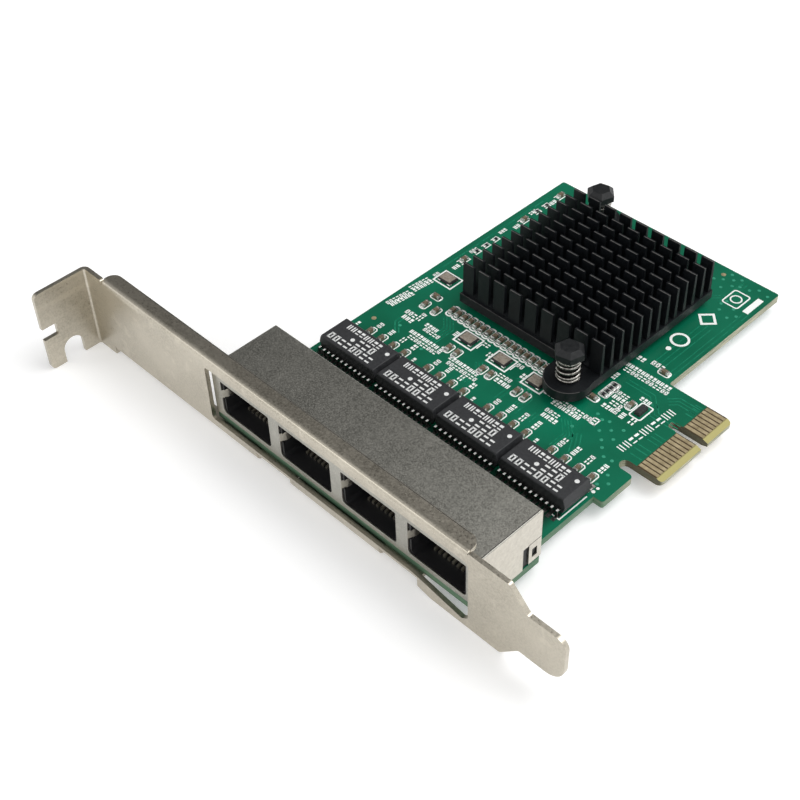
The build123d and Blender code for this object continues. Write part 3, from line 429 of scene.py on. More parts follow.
def linked(name, data):
    """New object in the scene, at the origin and unturned."""
    item = bpy.data.objects.new(name, data)
    scene.collection.objects.link(item)
    return item


def shade_smooth(mesh, degrees):
    """Shades faces smooth that meet at less than the angle."""
    mesh.polygons.foreach_set("use_smooth", [True] * len(mesh.polygons))
    mesh.set_sharp_from_angle(angle=math.radians(degrees))


def put(name, shape, finish_used, smooth=0.0):
    """A mesh object from a shape in the card's millimetres: (point + origin) / 1000. Equal
    points are merged, and faces that meet at less than the angle are shaded smooth."""
    points, faces = shape
    mesh = bpy.data.meshes.new(name)
    mesh.from_pydata(((points + ORIGIN) * MM).tolist(), [], faces.tolist())
    work = bmesh.new()
    work.from_mesh(mesh)
    bmesh.ops.remove_doubles(work, verts=work.verts, dist=1e-7)
    work.to_mesh(mesh)
    work.free()
    mesh.materials.append(finish_used)
    if smooth:
        shade_smooth(mesh, smooth)
    piece = linked(name, mesh)
    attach(piece, "root")
    print(name, len(mesh.polygons), "faces")
    return piece


# %% [markdown]
# ## Families of shapes
# Most small parts are a stack of rings: a box with eased edges, a disc, a dome or a mound of
# solder only differ in the rings. A printed line or a copper trace is a flat strip along a
# path. Short strokes of print are bars. A few functions cover them all.


# %% Rings, chips and round bodies
def stack(rings):
    """Closed body from rings of equal count, (levels, n, 3), listed from the bottom up and each
    counted anticlockwise: quads join neighbours, and a ring shrunk to its middle closes each
    end."""
    ends = [np.broadcast_to(rings[k].mean(0), rings[k].shape) for k in (0, -1)]
    rings = np.concatenate([ends[0][None], rings, ends[1][None]])
    levels, n = rings.shape[:2]
    i = np.arange(n)
    j = (i + 1) % n
    k = np.arange(levels - 1)[:, None] * n
    faces = np.stack([k + i, k + j, k + n + j, k + n + i], 2).reshape(-1, 4)
    return rings.reshape(-1, 3), faces


def chip(length, width, height, ease=0.05):
    """Box on the plane z = 0 with eased top edges: rectangles at the foot, just below the top
    and at the top, the last one drawn in by the ease."""
    corner = np.array([[-1, -1], [1, -1], [1, 1], [-1, 1]]) / 2
    rings = []
    for z, inset in ((0, 0), (height - ease, 0), (height, ease)):
        rings.append(np.c_[corner * [length - 2 * inset, width - 2 * inset], np.full(4, z)])
    return stack(np.array(rings))


def turned(profile, sides=16):
    """Body of revolution: each (radius, height) of the profile becomes a ring of points at
    radius times cosine and sine."""
    angle = np.arange(sides) * 2 * math.pi / sides
    profile = np.asarray(profile, float)
    flat = [profile[:, :1] * np.cos(angle), profile[:, :1] * np.sin(angle)]
    return stack(np.stack([*flat, np.repeat(profile[:, 1:], sides, 1)], 2))


def fillet(length, width, height):
    """Wedge of solder against a wall at x = 0: its top line sinks from the height to nothing
    over the length by (1 - s) squared, at five places s."""
    s = np.linspace(0, 1, 5)
    rise = height * (1 - s) ** 2 + 0.01
    half = width / 2 * (1 - 0.15 * s)
    x = length * s
    low = np.zeros(5)
    corners = [(-half, rise), (half, rise), (half, low), (-half, low)]
    return stack(np.stack([np.c_[x, side, z] for side, z in corners], 1))


# %% Strips and bars
def mitres(path, closed=False):
    """Sideways steps of length 1 at a path's points: the sum of both neighbours' normals over
    one plus their dot product, so that a line moved by them keeps its distance round a bend."""
    step = np.roll(path, -1, 0) - path
    if not closed:
        step[-1] = step[-2]
    step /= np.linalg.norm(step, axis=1, keepdims=True)
    normal = np.c_[-step[:, 1], step[:, 0]]
    other = np.roll(normal, 1, 0)
    if not closed:
        other[0] = normal[0]
    return (normal + other) / (1 + (normal * other).sum(1, keepdims=True))


def strip(path, width, low, high, closed=False):
    """Flat strip along a path: half the width goes to each side of it along its mitres."""
    p = np.asarray(path, float)
    mitre = mitres(p, closed) * width / 2
    corners = [(p + mitre, low), (p + mitre, high), (p - mitre, high), (p - mitre, low)]
    section = np.stack([np.c_[flat, np.full(len(p), z)] for flat, z in corners], 1)
    i = np.arange(4)
    a = np.arange(len(p) if closed else len(p) - 1)[:, None] * 4
    b = (a + 4) % (4 * len(p))
    faces = np.stack([a + i, a + (i + 1) % 4, b + (i + 1) % 4, b + i], 2).reshape(-1, 4)
    if not closed:
        last = 4 * (len(p) - 1)
        faces = np.concatenate([faces, [[3, 2, 1, 0], [last, last + 1, last + 2, last + 3]]])
    return section.reshape(-1, 3), faces


def bars(rows, low, high):
    """Thin plates from rows of (x, y, length, width, turn in degrees): half sizes turned by the
    angle about the middle, at two heights."""
    rows = np.asarray(rows, float).reshape(-1, 5)
    half = np.array([[-1, -1], [1, -1], [1, 1], [-1, 1]]) / 2 * rows[:, None, 2:4]
    c, s = np.cos(np.radians(rows[:, 4:])), np.sin(np.radians(rows[:, 4:]))
    x = rows[:, :1] + half[..., 0] * c - half[..., 1] * s
    y = rows[:, 1:2] + half[..., 0] * s + half[..., 1] * c
    points = np.stack([np.stack([x, y, np.full_like(x, z)], 2) for z in (low, high)], 1)
    box = [[0, 3, 2, 1], [4, 5, 6, 7], [0, 1, 5, 4], [1, 2, 6, 5], [2, 3, 7, 6], [3, 0, 4, 7]]
    steps = np.arange(len(rows)) * 8
    return points.reshape(-1, 3), (np.array(box) + steps[:, None, None]).reshape(-1, 4)


def rounded(x, y, length, width, radius, steps=4):
    """Path round a rectangle with corner arcs: for each corner, its arc's middle plus the radius
    times cosine and sine over a quarter turn, anticlockwise."""
    path = []
    for k, (sx, sy) in enumerate(((1, 1), (-1, 1), (-1, -1), (1, -1))):
        t = np.linspace(0, math.pi / 2, steps + 1) + k * math.pi / 2
        middle = np.array([x + sx * (length / 2 - radius), y + sy * (width / 2 - radius)])
        path.append(middle + radius * np.c_[np.cos(t), np.sin(t)])
    return np.concatenate(path)


def circle(x, y, radius, steps=28):
    """Closed path: the middle plus the radius times cosine and sine of even steps."""
    t = np.arange(steps) * 2 * math.pi / steps
    return np.c_[x + radius * np.cos(t), y + radius * np.sin(t)]


# %% [markdown]
# ## Solids inside a node
# Several nodes hold many equal solids, such as a row of capacitors. Their places are read from
# the frame instead of being written down twice. The frame's meshes are loose triangles, so
# points are first matched by place, and then numbers spread over shared triangles until each
# solid has one number.


# %% Boxes of separate solids
def solids(node):
    """Boxes (n, 2, 3) of a node's solids in the card's millimetres. Points at one place get one
    number; each triangle hands the lowest number of its corners to all three, again and again
    until nothing changes."""
    mesh = frame["nodes"][node].data
    points = np.empty(len(mesh.vertices) * 3)
    mesh.vertices.foreach_get("co", points)
    points = points.reshape(-1, 3) / MM - ORIGIN
    mesh.calc_loop_triangles()
    corners = np.empty(len(mesh.loop_triangles) * 3, np.int32)
    mesh.loop_triangles.foreach_get("vertices", corners)
    places, number = np.unique(points.round(3), axis=0, return_inverse=True)
    triangles = number.reshape(-1)[corners].reshape(-1, 3)
    owner = np.arange(len(places))
    while True:
        fresh = owner.copy()
        np.minimum.at(fresh, triangles.ravel(), np.repeat(owner[triangles].min(1), 3))
        fresh = fresh[fresh]
        if (fresh == owner).all():
            break
        owner = fresh
    groups = [places[owner == first] for first in np.unique(owner)]
    boxes = np.array([[group.min(0), group.max(0)] for group in groups])
    return boxes[np.lexsort(boxes[:, 0, :2].round(1).T)]


CAP_NODES = [
    f"{place}_capacitors" for place in ("module", "sink", "crystal", "left_edge", "supply")
]
CAPS = {node: solids(node) for node in CAP_NODES}
RESISTORS = {node: solids(node) for node in ("left_edge_resistors", "resistor_network")}
MODULES = [on_card(node) for node in four("magnetics")]
CRYSTALS = [on_card(node) for node in four("crystal")]
print("capacitors:", {node: len(boxes) for node, boxes in CAPS.items()})

# %% [markdown]
# ## Eased edges
# Bent sheet, anodised fins and moulded blocks never have knife edges, and a thin bright line
# along an edge is most of what shows a shape. A bevel modifier on a merged copy does that. The
# frame's own mesh stays as it is, and the copy is shown in its place.


# %% Eased copies
def eased(node, width, angle=28, segments=2):
    """Copy of a node with its points merged and its flat faces joined, and a bevel of the given
    width in millimetres along every edge sharper than the angle."""
    mesh = frame["nodes"][node].data.copy()
    work = bmesh.new()
    work.from_mesh(mesh)
    bmesh.ops.remove_doubles(work, verts=work.verts, dist=1e-6)
    flat = math.radians(0.5)
    bmesh.ops.dissolve_limit(work, angle_limit=flat, verts=work.verts, edges=work.edges)
    work.to_mesh(mesh)
    work.free()
    shade_smooth(mesh, angle)
    piece = linked(f"{node}_eased", mesh)
    bevel = piece.modifiers.new("eased_edges", "BEVEL")
    bevel.width = width * MM
    bevel.segments = segments
    bevel.limit_method = "ANGLE"
    bevel.angle_limit = math.radians(angle)
    bevel.harden_normals = True
    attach(piece, "root")
    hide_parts(node)
    print(piece.name, len(mesh.polygons), "faces before the bevel")
    return piece


eased("slot_bracket", 0.13)
eased("jack_shield", 0.07)
eased("heat_sink", 0.14)
for node in ("push_pin_near", "push_pin_far", *four("magnetics")):
    eased(node, 0.12)

# %% [markdown]
# ## Painted highlights on the heat sink's edges
# Thin grey strips along the top edge of each fin, along the base's front edge and round the
# near lug are painted highlights, where these edges would catch the light. The tips' places
# come from the fin counts and the sink's own box.

# %% Painted highlights along the edges
FIN_COLUMNS, FIN_ROWS = 9, 13
FIN_GAP, END_INSET = 1.2, 0.2
FIRST_FIN, LAST_FIN, TIP_OFFSET = 53.9, 86.4, -0.09
BASE_TOP, BASE_FRONT, LUG_START = -1.65, 52.85, 74.6
LUG_PLACE, LUG_RADIUS = (78.71, 49.335), 4.6
HIGHLIGHT_INSET, HIGHLIGHT_DEPTH, HIGHLIGHT_RISE = 0.1, 0.05, 0.012
usable = SINK_HIGH[0] - SINK_LOW[0] - 2 * END_INSET
fin_length = (usable - (FIN_COLUMNS - 1) * FIN_GAP) / FIN_COLUMNS
fin_x = SINK_LOW[0] + END_INSET + fin_length / 2 + np.arange(FIN_COLUMNS) * (fin_length + FIN_GAP)
fin_y = np.linspace(FIRST_FIN, LAST_FIN, FIN_ROWS) + TIP_OFFSET
tips = [(x, y, fin_length - 0.3, 0.14, 0) for x in fin_x for y in fin_y]
base_middle = (SINK_LOW[0] + LUG_START) / 2
base_length = LUG_START - SINK_LOW[0] - 0.5
base_run = [(base_middle, BASE_FRONT + HIGHLIGHT_INSET, base_length, 0.12, 0)]
rim = []
for degrees in range(205, 336, 5):
    turn, reach = math.radians(degrees), LUG_RADIUS - HIGHLIGHT_INSET
    x, y = LUG_PLACE[0] + reach * math.cos(turn), LUG_PLACE[1] + reach * math.sin(turn)
    rim.append((x, y, 0.42, 0.12, degrees + 90))
# Painted highlights: grey strips on the fin tips, the base's front edge and the lug's rim.
highlight_runs = [(tips, SINK_HIGH[2]), (base_run, BASE_TOP), (rim, BASE_TOP)]
edges = joined([bars(rows, top - HIGHLIGHT_DEPTH, top + HIGHLIGHT_RISE) for rows, top in highlight_runs])
put("painted_sink_highlights", edges, sink_edge_highlight)
print("fin length", round(float(fin_length), 3), "mm")

# %% [markdown]
# ## Springs
# The frame's springs have six-sided wire, which is enough for sizes. Here the wire is round:
# a ring of points is carried along the coil, and the first and last turns lie nearly flat, as
# ground ends do.


# %% Spring wire
def coil(middle, low, high, outside, wire, turns, sides=10, steps=40):
    """Tube along a coil: centre at (r cos t, r sin t) and a height of low plus the rise times
    s - 0.74 sin(2 pi s) / (2 pi) for s from 0 to 1; each ring lies in the plane of the outward
    direction and the one square to it and to the wire."""
    s = np.linspace(0, 1, int(turns * steps) + 1)
    t = 2 * math.pi * turns * s
    radius = (outside - wire) / 2
    ease_in = s - 0.74 * np.sin(2 * math.pi * s) / (2 * math.pi)
    height = low + wire / 2 + (high - low - wire) * ease_in
    centre = np.c_[middle[0] + radius * np.cos(t), middle[1] + radius * np.sin(t), height]
    forward = np.gradient(centre, axis=0)
    forward /= np.linalg.norm(forward, axis=1, keepdims=True)
    outward = np.c_[np.cos(t), np.sin(t), np.zeros(len(t))]
    square = np.cross(forward, outward)
    phi = np.arange(sides) * 2 * math.pi / sides
    ring = outward[:, None] * np.cos(phi)[:, None] + square[:, None] * np.sin(phi)[:, None]
    return stack(centre[:, None] + ring * wire / 2)


COIL_WIRE = 0.56
COIL_TURNS = 6
for side in ("near", "far"):
    low, high = on_card(f"pin_spring_{side}")
    shape = coil((low + high) / 2, low[2], high[2], high[0] - low[0], COIL_WIRE, COIL_TURNS)
    piece = put(f"pin_spring_{side}_round", shape, spring_steel, 60)
    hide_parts(f"pin_spring_{side}")

# %% [markdown]
# ## Terminals and solder
# Each chip has tin caps over both ends and a small fillet of solder that climbs them. The
# gull-wing leads stand in solder too, on tinned pads, and pale bars on their shoulders are
# painted glints. These are a few hundredths to a few tenths of a millimetre thick: too small
# for the solids, but bright enough to be seen. The leads and the solder on the jacks' side
# take a darker copy of the tin, as painted shade.

# %% Chip terminals
SWELL = 0.02


def terminals(boxes, cover, reach):
    """Tin caps of the given cover at both ends of each box's longer side, swollen by a little,
    and a fillet of solder that reaches out on the pad. Boxes (n, 2, 3) give one shape."""
    shapes = []
    for low, high in boxes:
        size, middle = high - low, (low + high) / 2
        axis = int(size[1] > size[0])
        width = size[1 - axis] + 2 * SWELL
        cap = chip(cover + SWELL, width, size[2] + SWELL, 0.05)
        wedge = fillet(reach, width * 1.05, size[2] * 0.6)
        for end in (1, -1):
            way = np.array([1 - axis, axis, 0]) * end
            angle = math.pi / 2 * axis + (0 if end > 0 else math.pi)
            foot = np.array([middle[0], middle[1], low[2]])
            shapes.append(copies(cap, foot + way * (size[axis] / 2 - cover / 2 + SWELL / 2), angle))
            shapes.append(copies(wedge, foot + way * (size[axis] / 2 + SWELL), angle))
    return joined(shapes)


small = [terminals(boxes, 0.34, 0.3) for boxes in CAPS.values()]
small += [terminals(boxes, 0.22, 0.22) for boxes in RESISTORS.values()]
put("chip_terminals", joined(small), solder_tin, 35)

# %% Solder at the module leads
LEAD_PITCH = 1.2
LEADS = 12
LEAD_NODES = four("magnetics_leads")
LEAD_TOP = on_card(LEAD_NODES[0])[1][2]
steps = (np.arange(LEADS) - (LEADS - 1) / 2) * LEAD_PITCH
mound = turned([(0.34, 0), (0.30, 0.05), (0.20, 0.12), (0.06, 0.16)], 8)
mound = (mound[0] * [1.0, 1.5, 1.0], mound[1])
# The near side's solder and pads take the darker tin, as painted shade.
for side, solder, way in (("near", shaded_tin, 1), ("far", solder_tin, -1)):
    places = []
    for (low, high), node in zip(MODULES, LEAD_NODES):
        edge = on_card(node)[0 if way > 0 else 1][1]
        places += [(x, edge) for x in (low[0] + high[0]) / 2 + steps]
    feet = copies(mound, [(x, y + 0.25 * way, TOP) for x, y in places])
    put(f"lead_solder_{side}", feet, solder, 50)
    pads = bars([(x, y + 0.3 * way, 0.8, 2.1, 0) for x, y in places], TOP - 0.01, TOP + 0.02)
    put(f"lead_pads_{side}", pads, solder)
    # Painted glints: pale bars on the lead shoulders stand in for highlights.
    rows = [(x, y + 0.62 * way, 0.38, 0.55, 0) for x, y in places]
    shoulders = bars(rows, LEAD_TOP - 0.03, LEAD_TOP + 0.01)
    put(f"painted_lead_glints_{side}", shoulders, lead_glint)
# Painted shade: the module leads take the darker tin.
for node in LEAD_NODES:
    frame["nodes"][node].data.materials[0] = shaded_tin

# %% Solder under the jacks
tails = solids("jack_tails")
cone = turned([(0.3, -0.7), (0.42, -0.42), (0.62, -0.1), (0.72, 0)], 12)
under = (tails[:, 0] + tails[:, 1]) / 2
under[:, 2] = BOTTOM
put("tail_solder", copies(cone, under), solder_tin, 60)
print("solder cones under the jacks:", len(under))

# %% [markdown]
# ## Crystals
# A crystal is a dark ceramic tray with a thin metal lid seamed on, and four tin corners that
# wet the board. One solid holds its place in the frame, and three small shapes dress it here.

# %% Crystal trays, lids and corners
LID, SEAM = 0.18, 0.02
SIGNS = ((1, 1), (1, -1), (-1, 1), (-1, -1))
trays, lids, corners = [], [], []
for low, high in CRYSTALS:
    x, y = (low[:2] + high[:2]) / 2
    length, width, height = high - low
    trays.append(copies(chip(length, width, height - LID + SEAM), [(x, y, TOP)]))
    lid = chip(length - 0.42, width - 0.42, LID, 0.07)
    lids.append(copies(lid, [(x, y, TOP + height - LID)]))
    out_x, out_y = length / 2 - 0.3, width / 2 - 0.25
    spots = [(x + sx * out_x, y + sy * out_y, TOP) for sx, sy in SIGNS]
    corners.append(copies(chip(0.75, 0.65, 0.26, 0.08), spots))
piece = put("crystal_trays", joined(trays), chip_black)
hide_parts(*four("crystal"))
piece = put("crystal_lids", joined(lids), crystal_can)
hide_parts(*four("crystal"))
put("crystal_corners", joined(corners), solder_tin)

# %% [markdown]
# ## White print on the board
# Screen print frames each small part, and short runs of strokes stand beside the frames. Both
# shape how the board looks. Everything lies a few hundredths of a millimetre proud, as ink
# does. First the strokes: four plain figures, each a few bars in a cell 1 high.

# %% Stroke figures
STROKES = (
    ((0, 0.39, 0.62, 0.22), (0, -0.39, 0.62, 0.22), (-0.21, 0, 0.2, 0.8), (0.21, 0, 0.2, 0.8)),
    ((-0.19, 0, 0.22, 1), (0.19, 0, 0.22, 1)),
    ((0, -0.36, 0.6, 0.26), (0, 0.30, 0.6, 0.26)),
    ((0, 0.24, 0.6, 0.48), (0, -0.38, 0.6, 0.24)),
)
STROKE_STEP = 0.88


def label(x, y, count, height=1.0, turn=0.0, first=0, weight=1.18):
    """Rows of bars for a run of figures that starts at a point and runs along the turn in
    degrees: each figure's bars are scaled by the height, their thin side also by the weight,
    turned and stepped along the run."""
    c, s = math.cos(math.radians(turn)), math.sin(math.radians(turn))
    rows = []
    for k in range(count):
        figure = np.array(STROKES[(first + k * 3 + k * k) % len(STROKES)], float) * height
        thin = 2 + (figure[:, 3] < figure[:, 2])
        figure[np.arange(len(figure)), thin] *= weight
        px, py = figure[:, 0] + (k + 0.5) * STROKE_STEP * height, figure[:, 1]
        turns = np.full(len(figure), turn)
        rows.append(np.c_[x + px * c - py * s, y + px * s + py * c, figure[:, 2:], turns])
    return np.concatenate(rows)


# %% Frames
INK = 0.03
LINE = 0.232
ink = (TOP - 0.01, TOP + INK)
lines, labels = [], []


def frame_line(path, closed=True, width=LINE):
    """Adds a printed line along a path."""
    lines.append(strip(path, width, *ink, closed=closed))


def frame_round(low, high, length, width, radius, line=LINE):
    """Adds a rounded frame of a given size round the middle of a box."""
    x, y = (low[:2] + high[:2]) / 2
    frame_line(rounded(x, y, length, width, radius), width=line)


def frame_open(low, high, reach, before, behind):
    """Adds a frame without its front side round a box, at given distances from its middle, its
    front and its rear."""
    x, front, rear = (low[0] + high[0]) / 2, low[1] - before, high[1] + behind
    corners = ((-1, front), (-1, rear), (1, rear), (1, front))
    frame_line([(x + sx * reach, y) for sx, y in corners], False)


def dot(x, y, radius, sides=16):
    """Adds a printed dot."""
    lines.append(copies(turned([(radius, 0), (radius, INK)], sides), [(x, y, TOP)]))


# %% Frames round the capacitors
for k, (low, high) in enumerate(CAPS["module_capacitors"]):
    x = (low[0] + high[0]) / 2
    side = [(0.72, low[1] + 0.1), (0.72, high[1] + 0.35), (0.37, high[1] + 0.7)]
    frame_line([(x - dx, y) for dx, y in side] + [(x + dx, y) for dx, y in side[::-1]], False)
    labels.append(label(x + 0.1, high[1] + 1.15, 3 if k > 8 else 2, 0.95, 90, k))
for low, high in CAPS["sink_capacitors"]:
    frame_round(low, high, 1.5, 3.1, 0.6, 0.34)
for low, high in CAPS["left_edge_capacitors"]:
    frame_open(low, high, 0.72, 0.6, 0.3)
    labels.append(label((low[0] + high[0]) / 2 + 0.3, low[1] - 2.8, 2, 1.05, 90, 1))
for name, width in (("crystal_capacitors", 2.5), ("supply_capacitors", 2.4)):
    for low, high in CAPS[name]:
        long_x = high[0] - low[0] > high[1] - low[1]
        frame_round(low, high, *((2.5, 1.5) if long_x else (1.5, width)), 0.55)

# %% Frames round crystals, resistors and the regulator
for k, (low, high) in enumerate(CRYSTALS):
    x, y = (low[:2] + high[:2]) / 2
    around = ((-1, -1), (1, -1), (1, 1), (-1, 1))
    frame_line([(x + 2.3 * sx, y + 1.85 * sy) for sx, sy in around], width=0.34)
    labels.append(label(x - 2.9, y - 1.1, 2, 0.9, 90, k))
    if k:
        labels.append(label(x + 2.55, y + 1.3, 2, 1.0, 0, 2 * k))
        labels.append([(x + 2.7, y + 0.1, 0.25, 1.6, 0)])
network = RESISTORS["resistor_network"]
low, high = network[:, 0].min(0), network[:, 1].max(0)
frame_round(low, high, 1.9, high[1] - low[1] + 0.7, 0.4)
for low, high in network:
    frame_round(low, high, 1.7, 1.0, 0.3, 0.19)
for low, high in RESISTORS["left_edge_resistors"]:
    frame_open(low, high, 0.55, 0.35, 0.3)
frame_round(*on_card("supply_regulator"), 2.5, 4.1, 0.4, 0.28)

# %% Runs of strokes on the board
RUNS = (
    (37, 43.6, 7, 0.95, 83), (38, 43.8, 7, 0.95, 83), (37, 50, 6, 0.95, 83),
    (38.1, 50, 6, 0.95, 83), (41.3, 44.8, 3, 1.1, 0), (41.9, 43.3, 3, 1.1, 0),
    (44.9, 44.1, 3, 1, 90), (46.9, 44.6, 4, 0.95, 0), (47.6, 43.4, 5, 0.95, 0),
    (46.1, 41.2, 9, 0.95, 0), (46.9, 39.9, 9, 0.95, 0), (56.8, 41, 9, 0.95, 0),
    (57.4, 39.7, 9, 0.95, 0), (54.4, 40, 3, 0.9, 90), (66.6, 43.9, 4, 0.95, 0),
    (67, 42.5, 4, 1.05, 0), (79, 43, 4, 0.95, 0), (79.3, 41.6, 4, 1.05, 0),
    (75.9, 46.4, 13, 1.05, 0), (78.6, 45.2, 8, 0.95, 0), (38, 66.6, 3, 0.85, 90),
    (38, 75.4, 3, 0.85, 90), (38.2, 84.6, 3, 0.85, 90), (82.3, 65.4, 2, 1.1, 0),
    (85.1, 66.1, 3, 1.15, 0), (82.1, 62.5, 12, 0.98, 0), (82.4, 61.2, 12, 0.98, 0),
    (82.7, 57.4, 3, 0.8, 90), (85, 55.4, 4, 0.95, 0), (85.6, 54.1, 4, 1.05, 0),
    (86.2, 52.6, 3, 1.05, 0), (85.6, 51, 3, 1, 0), (88.6, 50.4, 2, 1, 90), (90.2, 50.3, 2, 1, 90),
    (92.4, 50.2, 2, 1.1, 90), (89.6, 57, 3, 0.95, 0),
)
for k, (x, y, count, height, turn) in enumerate(RUNS):
    labels.append(label(x, y, count, height, turn, k))
labels.append(label(95.1, 44.0, 10, 1.65, 86, 1, 0.62))
labels.append([(86.9, 46.6, 0.25, 1.8, 0), (88.1, 46.6, 0.25, 1.8, 0)])
labels.append([(87.5, 47.4, 1.4, 0.25, 0), (87.5, 45.8, 1.4, 0.25, 0)])

# %% Plain figures along the right side
frame_line(circle(85.2, 74.6, 1.7), width=0.5)
dot(85.1, 71.2, 0.55)
frame_line([(85.4, 84.9), (83.5, 83.0), (85.4, 81.1), (87.3, 83.0)], width=0.5)
frame_line(rounded(85.9, 91.6, 3.6, 4.6, 0.5), width=0.3)
frame_line(circle(85.9, 91.6, 1.1), width=0.3)
labels.append([(89.5, 92.1, 1.3, 5.3, 0)])
frame_line([(96.0, 24.7), (98.1, 24.6), (98.1, 31.8)], False, 0.25)
dot(98.2, 33.4, 0.36)
for low, high in MODULES:
    labels.append(label(low[0] - 0.5, high[1] + 3.2, 1, 1.0, 0, 3))
    dot(high[0], high[1] + 1.9, 0.3, 12)
put("board_print_lines", joined(lines), mark_white)
put("board_print_strokes", bars(np.concatenate(labels), *ink), mark_white)

# %% [markdown]
# ## Print on the modules
# Each module carries three rows of pale strokes, the middle one short, and two pale dots.

# %% Module print
MODULE_TOP = float(MODULES[0][1][2])
pale, dots = [], []
for low, high in MODULES:
    middle = (low[0] + high[0]) / 2
    pale.append(label(middle - 6.3, low[1] + 1.45, 8, 1.65, weight=0.9))
    pale.append(label(middle - 0.6, low[1] + 3.5, 3, 1.75, first=2, weight=0.9))
    pale.append(label(middle - 5.2, low[1] + 5.4, 8, 1.3, first=1, weight=0.9))
    spots = ((middle - 1.6, low[1] + 3.2), (high[0] - 1.6, low[1] + 4.9))
    dots += [(x, y, MODULE_TOP - 0.01) for x, y in spots]
strokes = bars(np.concatenate(pale), MODULE_TOP - 0.01, MODULE_TOP + 0.02)
put("module_print_strokes", strokes, module_print)
round_mark = turned([(0.45, 0), (0.45, 0.03)], 20)
put("module_dots", copies(round_mark, dots), module_print)

# %% [markdown]
# ## Copper under the mask
# Where copper runs under the solder mask, the board stands a hair higher and looks lighter.
# The traces are flat strips in 45 degree bundles, and the vias are small round buttons. They
# are laid out from simple rules: bundles keep a constant pitch, and bends are mitred.


# %% Bundles of traces
def bundle(path, count, pitch, width):
    """Parallel copies of a path: each is moved sideways along the path's mitres by its number
    times the pitch, counted from the middle."""
    p = np.asarray(path, float)
    mitre = mitres(p)
    shifts = (np.arange(count) - (count - 1) / 2) * pitch
    return [strip(p + mitre * shift, width, TOP - 0.01, TOP + 0.012) for shift in shifts]


PATHS = (
    ([(86.6, 66), (86.6, 81.5)], 3, 1.1, 0.18), ([(89.9, 64), (89.9, 90)], 2, 0.9, 0.16),
    ([(87.2, 42.2), (88.4, 40.4), (89.7, 38)], 3, 0.75, 0.2),
    ([(83.2, 43.8), (86.3, 40.7), (86.3, 36.6)], 4, 0.55, 0.2),
    ([(72.2, 45.4), (74.9, 42.6), (74.9, 38.2)], 4, 0.6, 0.2),
    ([(61.9, 43.8), (63.6, 41.9), (63.6, 37.9)], 3, 0.6, 0.2),
    ([(48.6, 49.2), (51.2, 46.6), (51.2, 39)], 4, 0.6, 0.2),
    ([(44.9, 38.8), (42.4, 41.2), (42.4, 43)], 2, 0.7, 0.25),
    ([(78.8, 38.4), (78.8, 41)], 2, 0.7, 0.2),
    ([(70.1, 45), (71.8, 46.8), (71.8, 49.4)], 2, 0.6, 0.2),
    ([(92.2, 57.3), (94.2, 55.3), (99.4, 55.3)], 3, 0.8, 0.2),
    ([(93.9, 59.6), (95.4, 61.1), (99.4, 61.1)], 3, 0.8, 0.2),
    ([(96.6, 47), (99.5, 47)], 2, 1.1, 0.22), ([(97.1, 50.6), (99.5, 50.6)], 3, 1, 0.22),
    ([(96.9, 44.9), (99.5, 44.9)], 1, 1, 0.22), ([(98, 60.9), (99.5, 60.9)], 4, 1, 0.22),
    ([(85.2, 58.9), (91, 58.9), (93.2, 56.7)], 2, 0.9, 0.18),
    ([(37.2, 57.6), (37.2, 92)], 1, 1, 0.22), ([(87, 33.2), (87, 38.4)], 1, 1, 0.3),
    ([(70.8, 38.8), (70.8, 41.8)], 2, 0.8, 0.2), ([(83.9, 97), (83.9, 88.6)], 1, 1, 0.2),
    ([(46.3, 56.6), (46.3, 88)], 1, 1, 0.2),
    ([(81.4, 88.4), (84.6, 91.6), (84.6, 96.6)], 2, 0.7, 0.2),
)
copper = [shape for path in PATHS for shape in bundle(*path)]
put("copper_traces", joined(copper), copper_mask)

# %% Vias
VIAS = (
    (86.7, 48.5), (88.2, 47.9), (89.5, 48.4), (89.6, 45.4), (91.1, 46.9), (92.7, 48.4),
    (91.3, 43.9), (92.8, 45.4), (95.9, 41.2), (92.6, 42.5), (94.2, 41), (95.7, 39.6), (97.5, 38.1),
    (97.5, 35.2), (98.9, 36.6), (84.5, 88.6), (84.9, 89.9), (87.3, 88.8), (82.9, 94.4),
    (84.2, 95.2), (86.2, 95.6), (82.1, 96.1), (80.4, 94.9), (83.3, 97.2), (87.6, 96.9),
    (89.9, 96.4), (78.9, 93.9), (80.9, 97.3), (85.3, 86.9), (87.8, 85.9), (88.9, 87.4),
    (81.5, 92.6), (51.4, 38.9), (56.7, 42.3), (62.8, 38.2), (73.5, 44.7), (72, 41.5), (77.9, 38.5),
    (85.4, 42.9), (43.6, 40.9),
)
button = turned([(0.34, 0), (0.34, 0.012), (0.26, 0.022)], 12)
put("vias_top", copies(button, [(x, y, TOP) for x, y in VIAS]), via_mask, 50)
ring = turned([(0.2, -0.03), (0.42, -0.025), (0.44, 0)], 12)
put("vias_under", copies(ring, [(x, y, BOTTOM) for x, y in VIAS]), via_mask, 50)
target = copies(turned([(0.5, 0), (0.5, 0.015)], 20), [(79.6, 96.2, TOP), (38.4, 38.9, TOP)])
put("gold_target_dots", target, contact_gold)

# %% [markdown]
# ## Under the board
# The lower side is seen when the card is turned over: its traces fan out from the jacks to
# the edge, and each via shows as a ring.

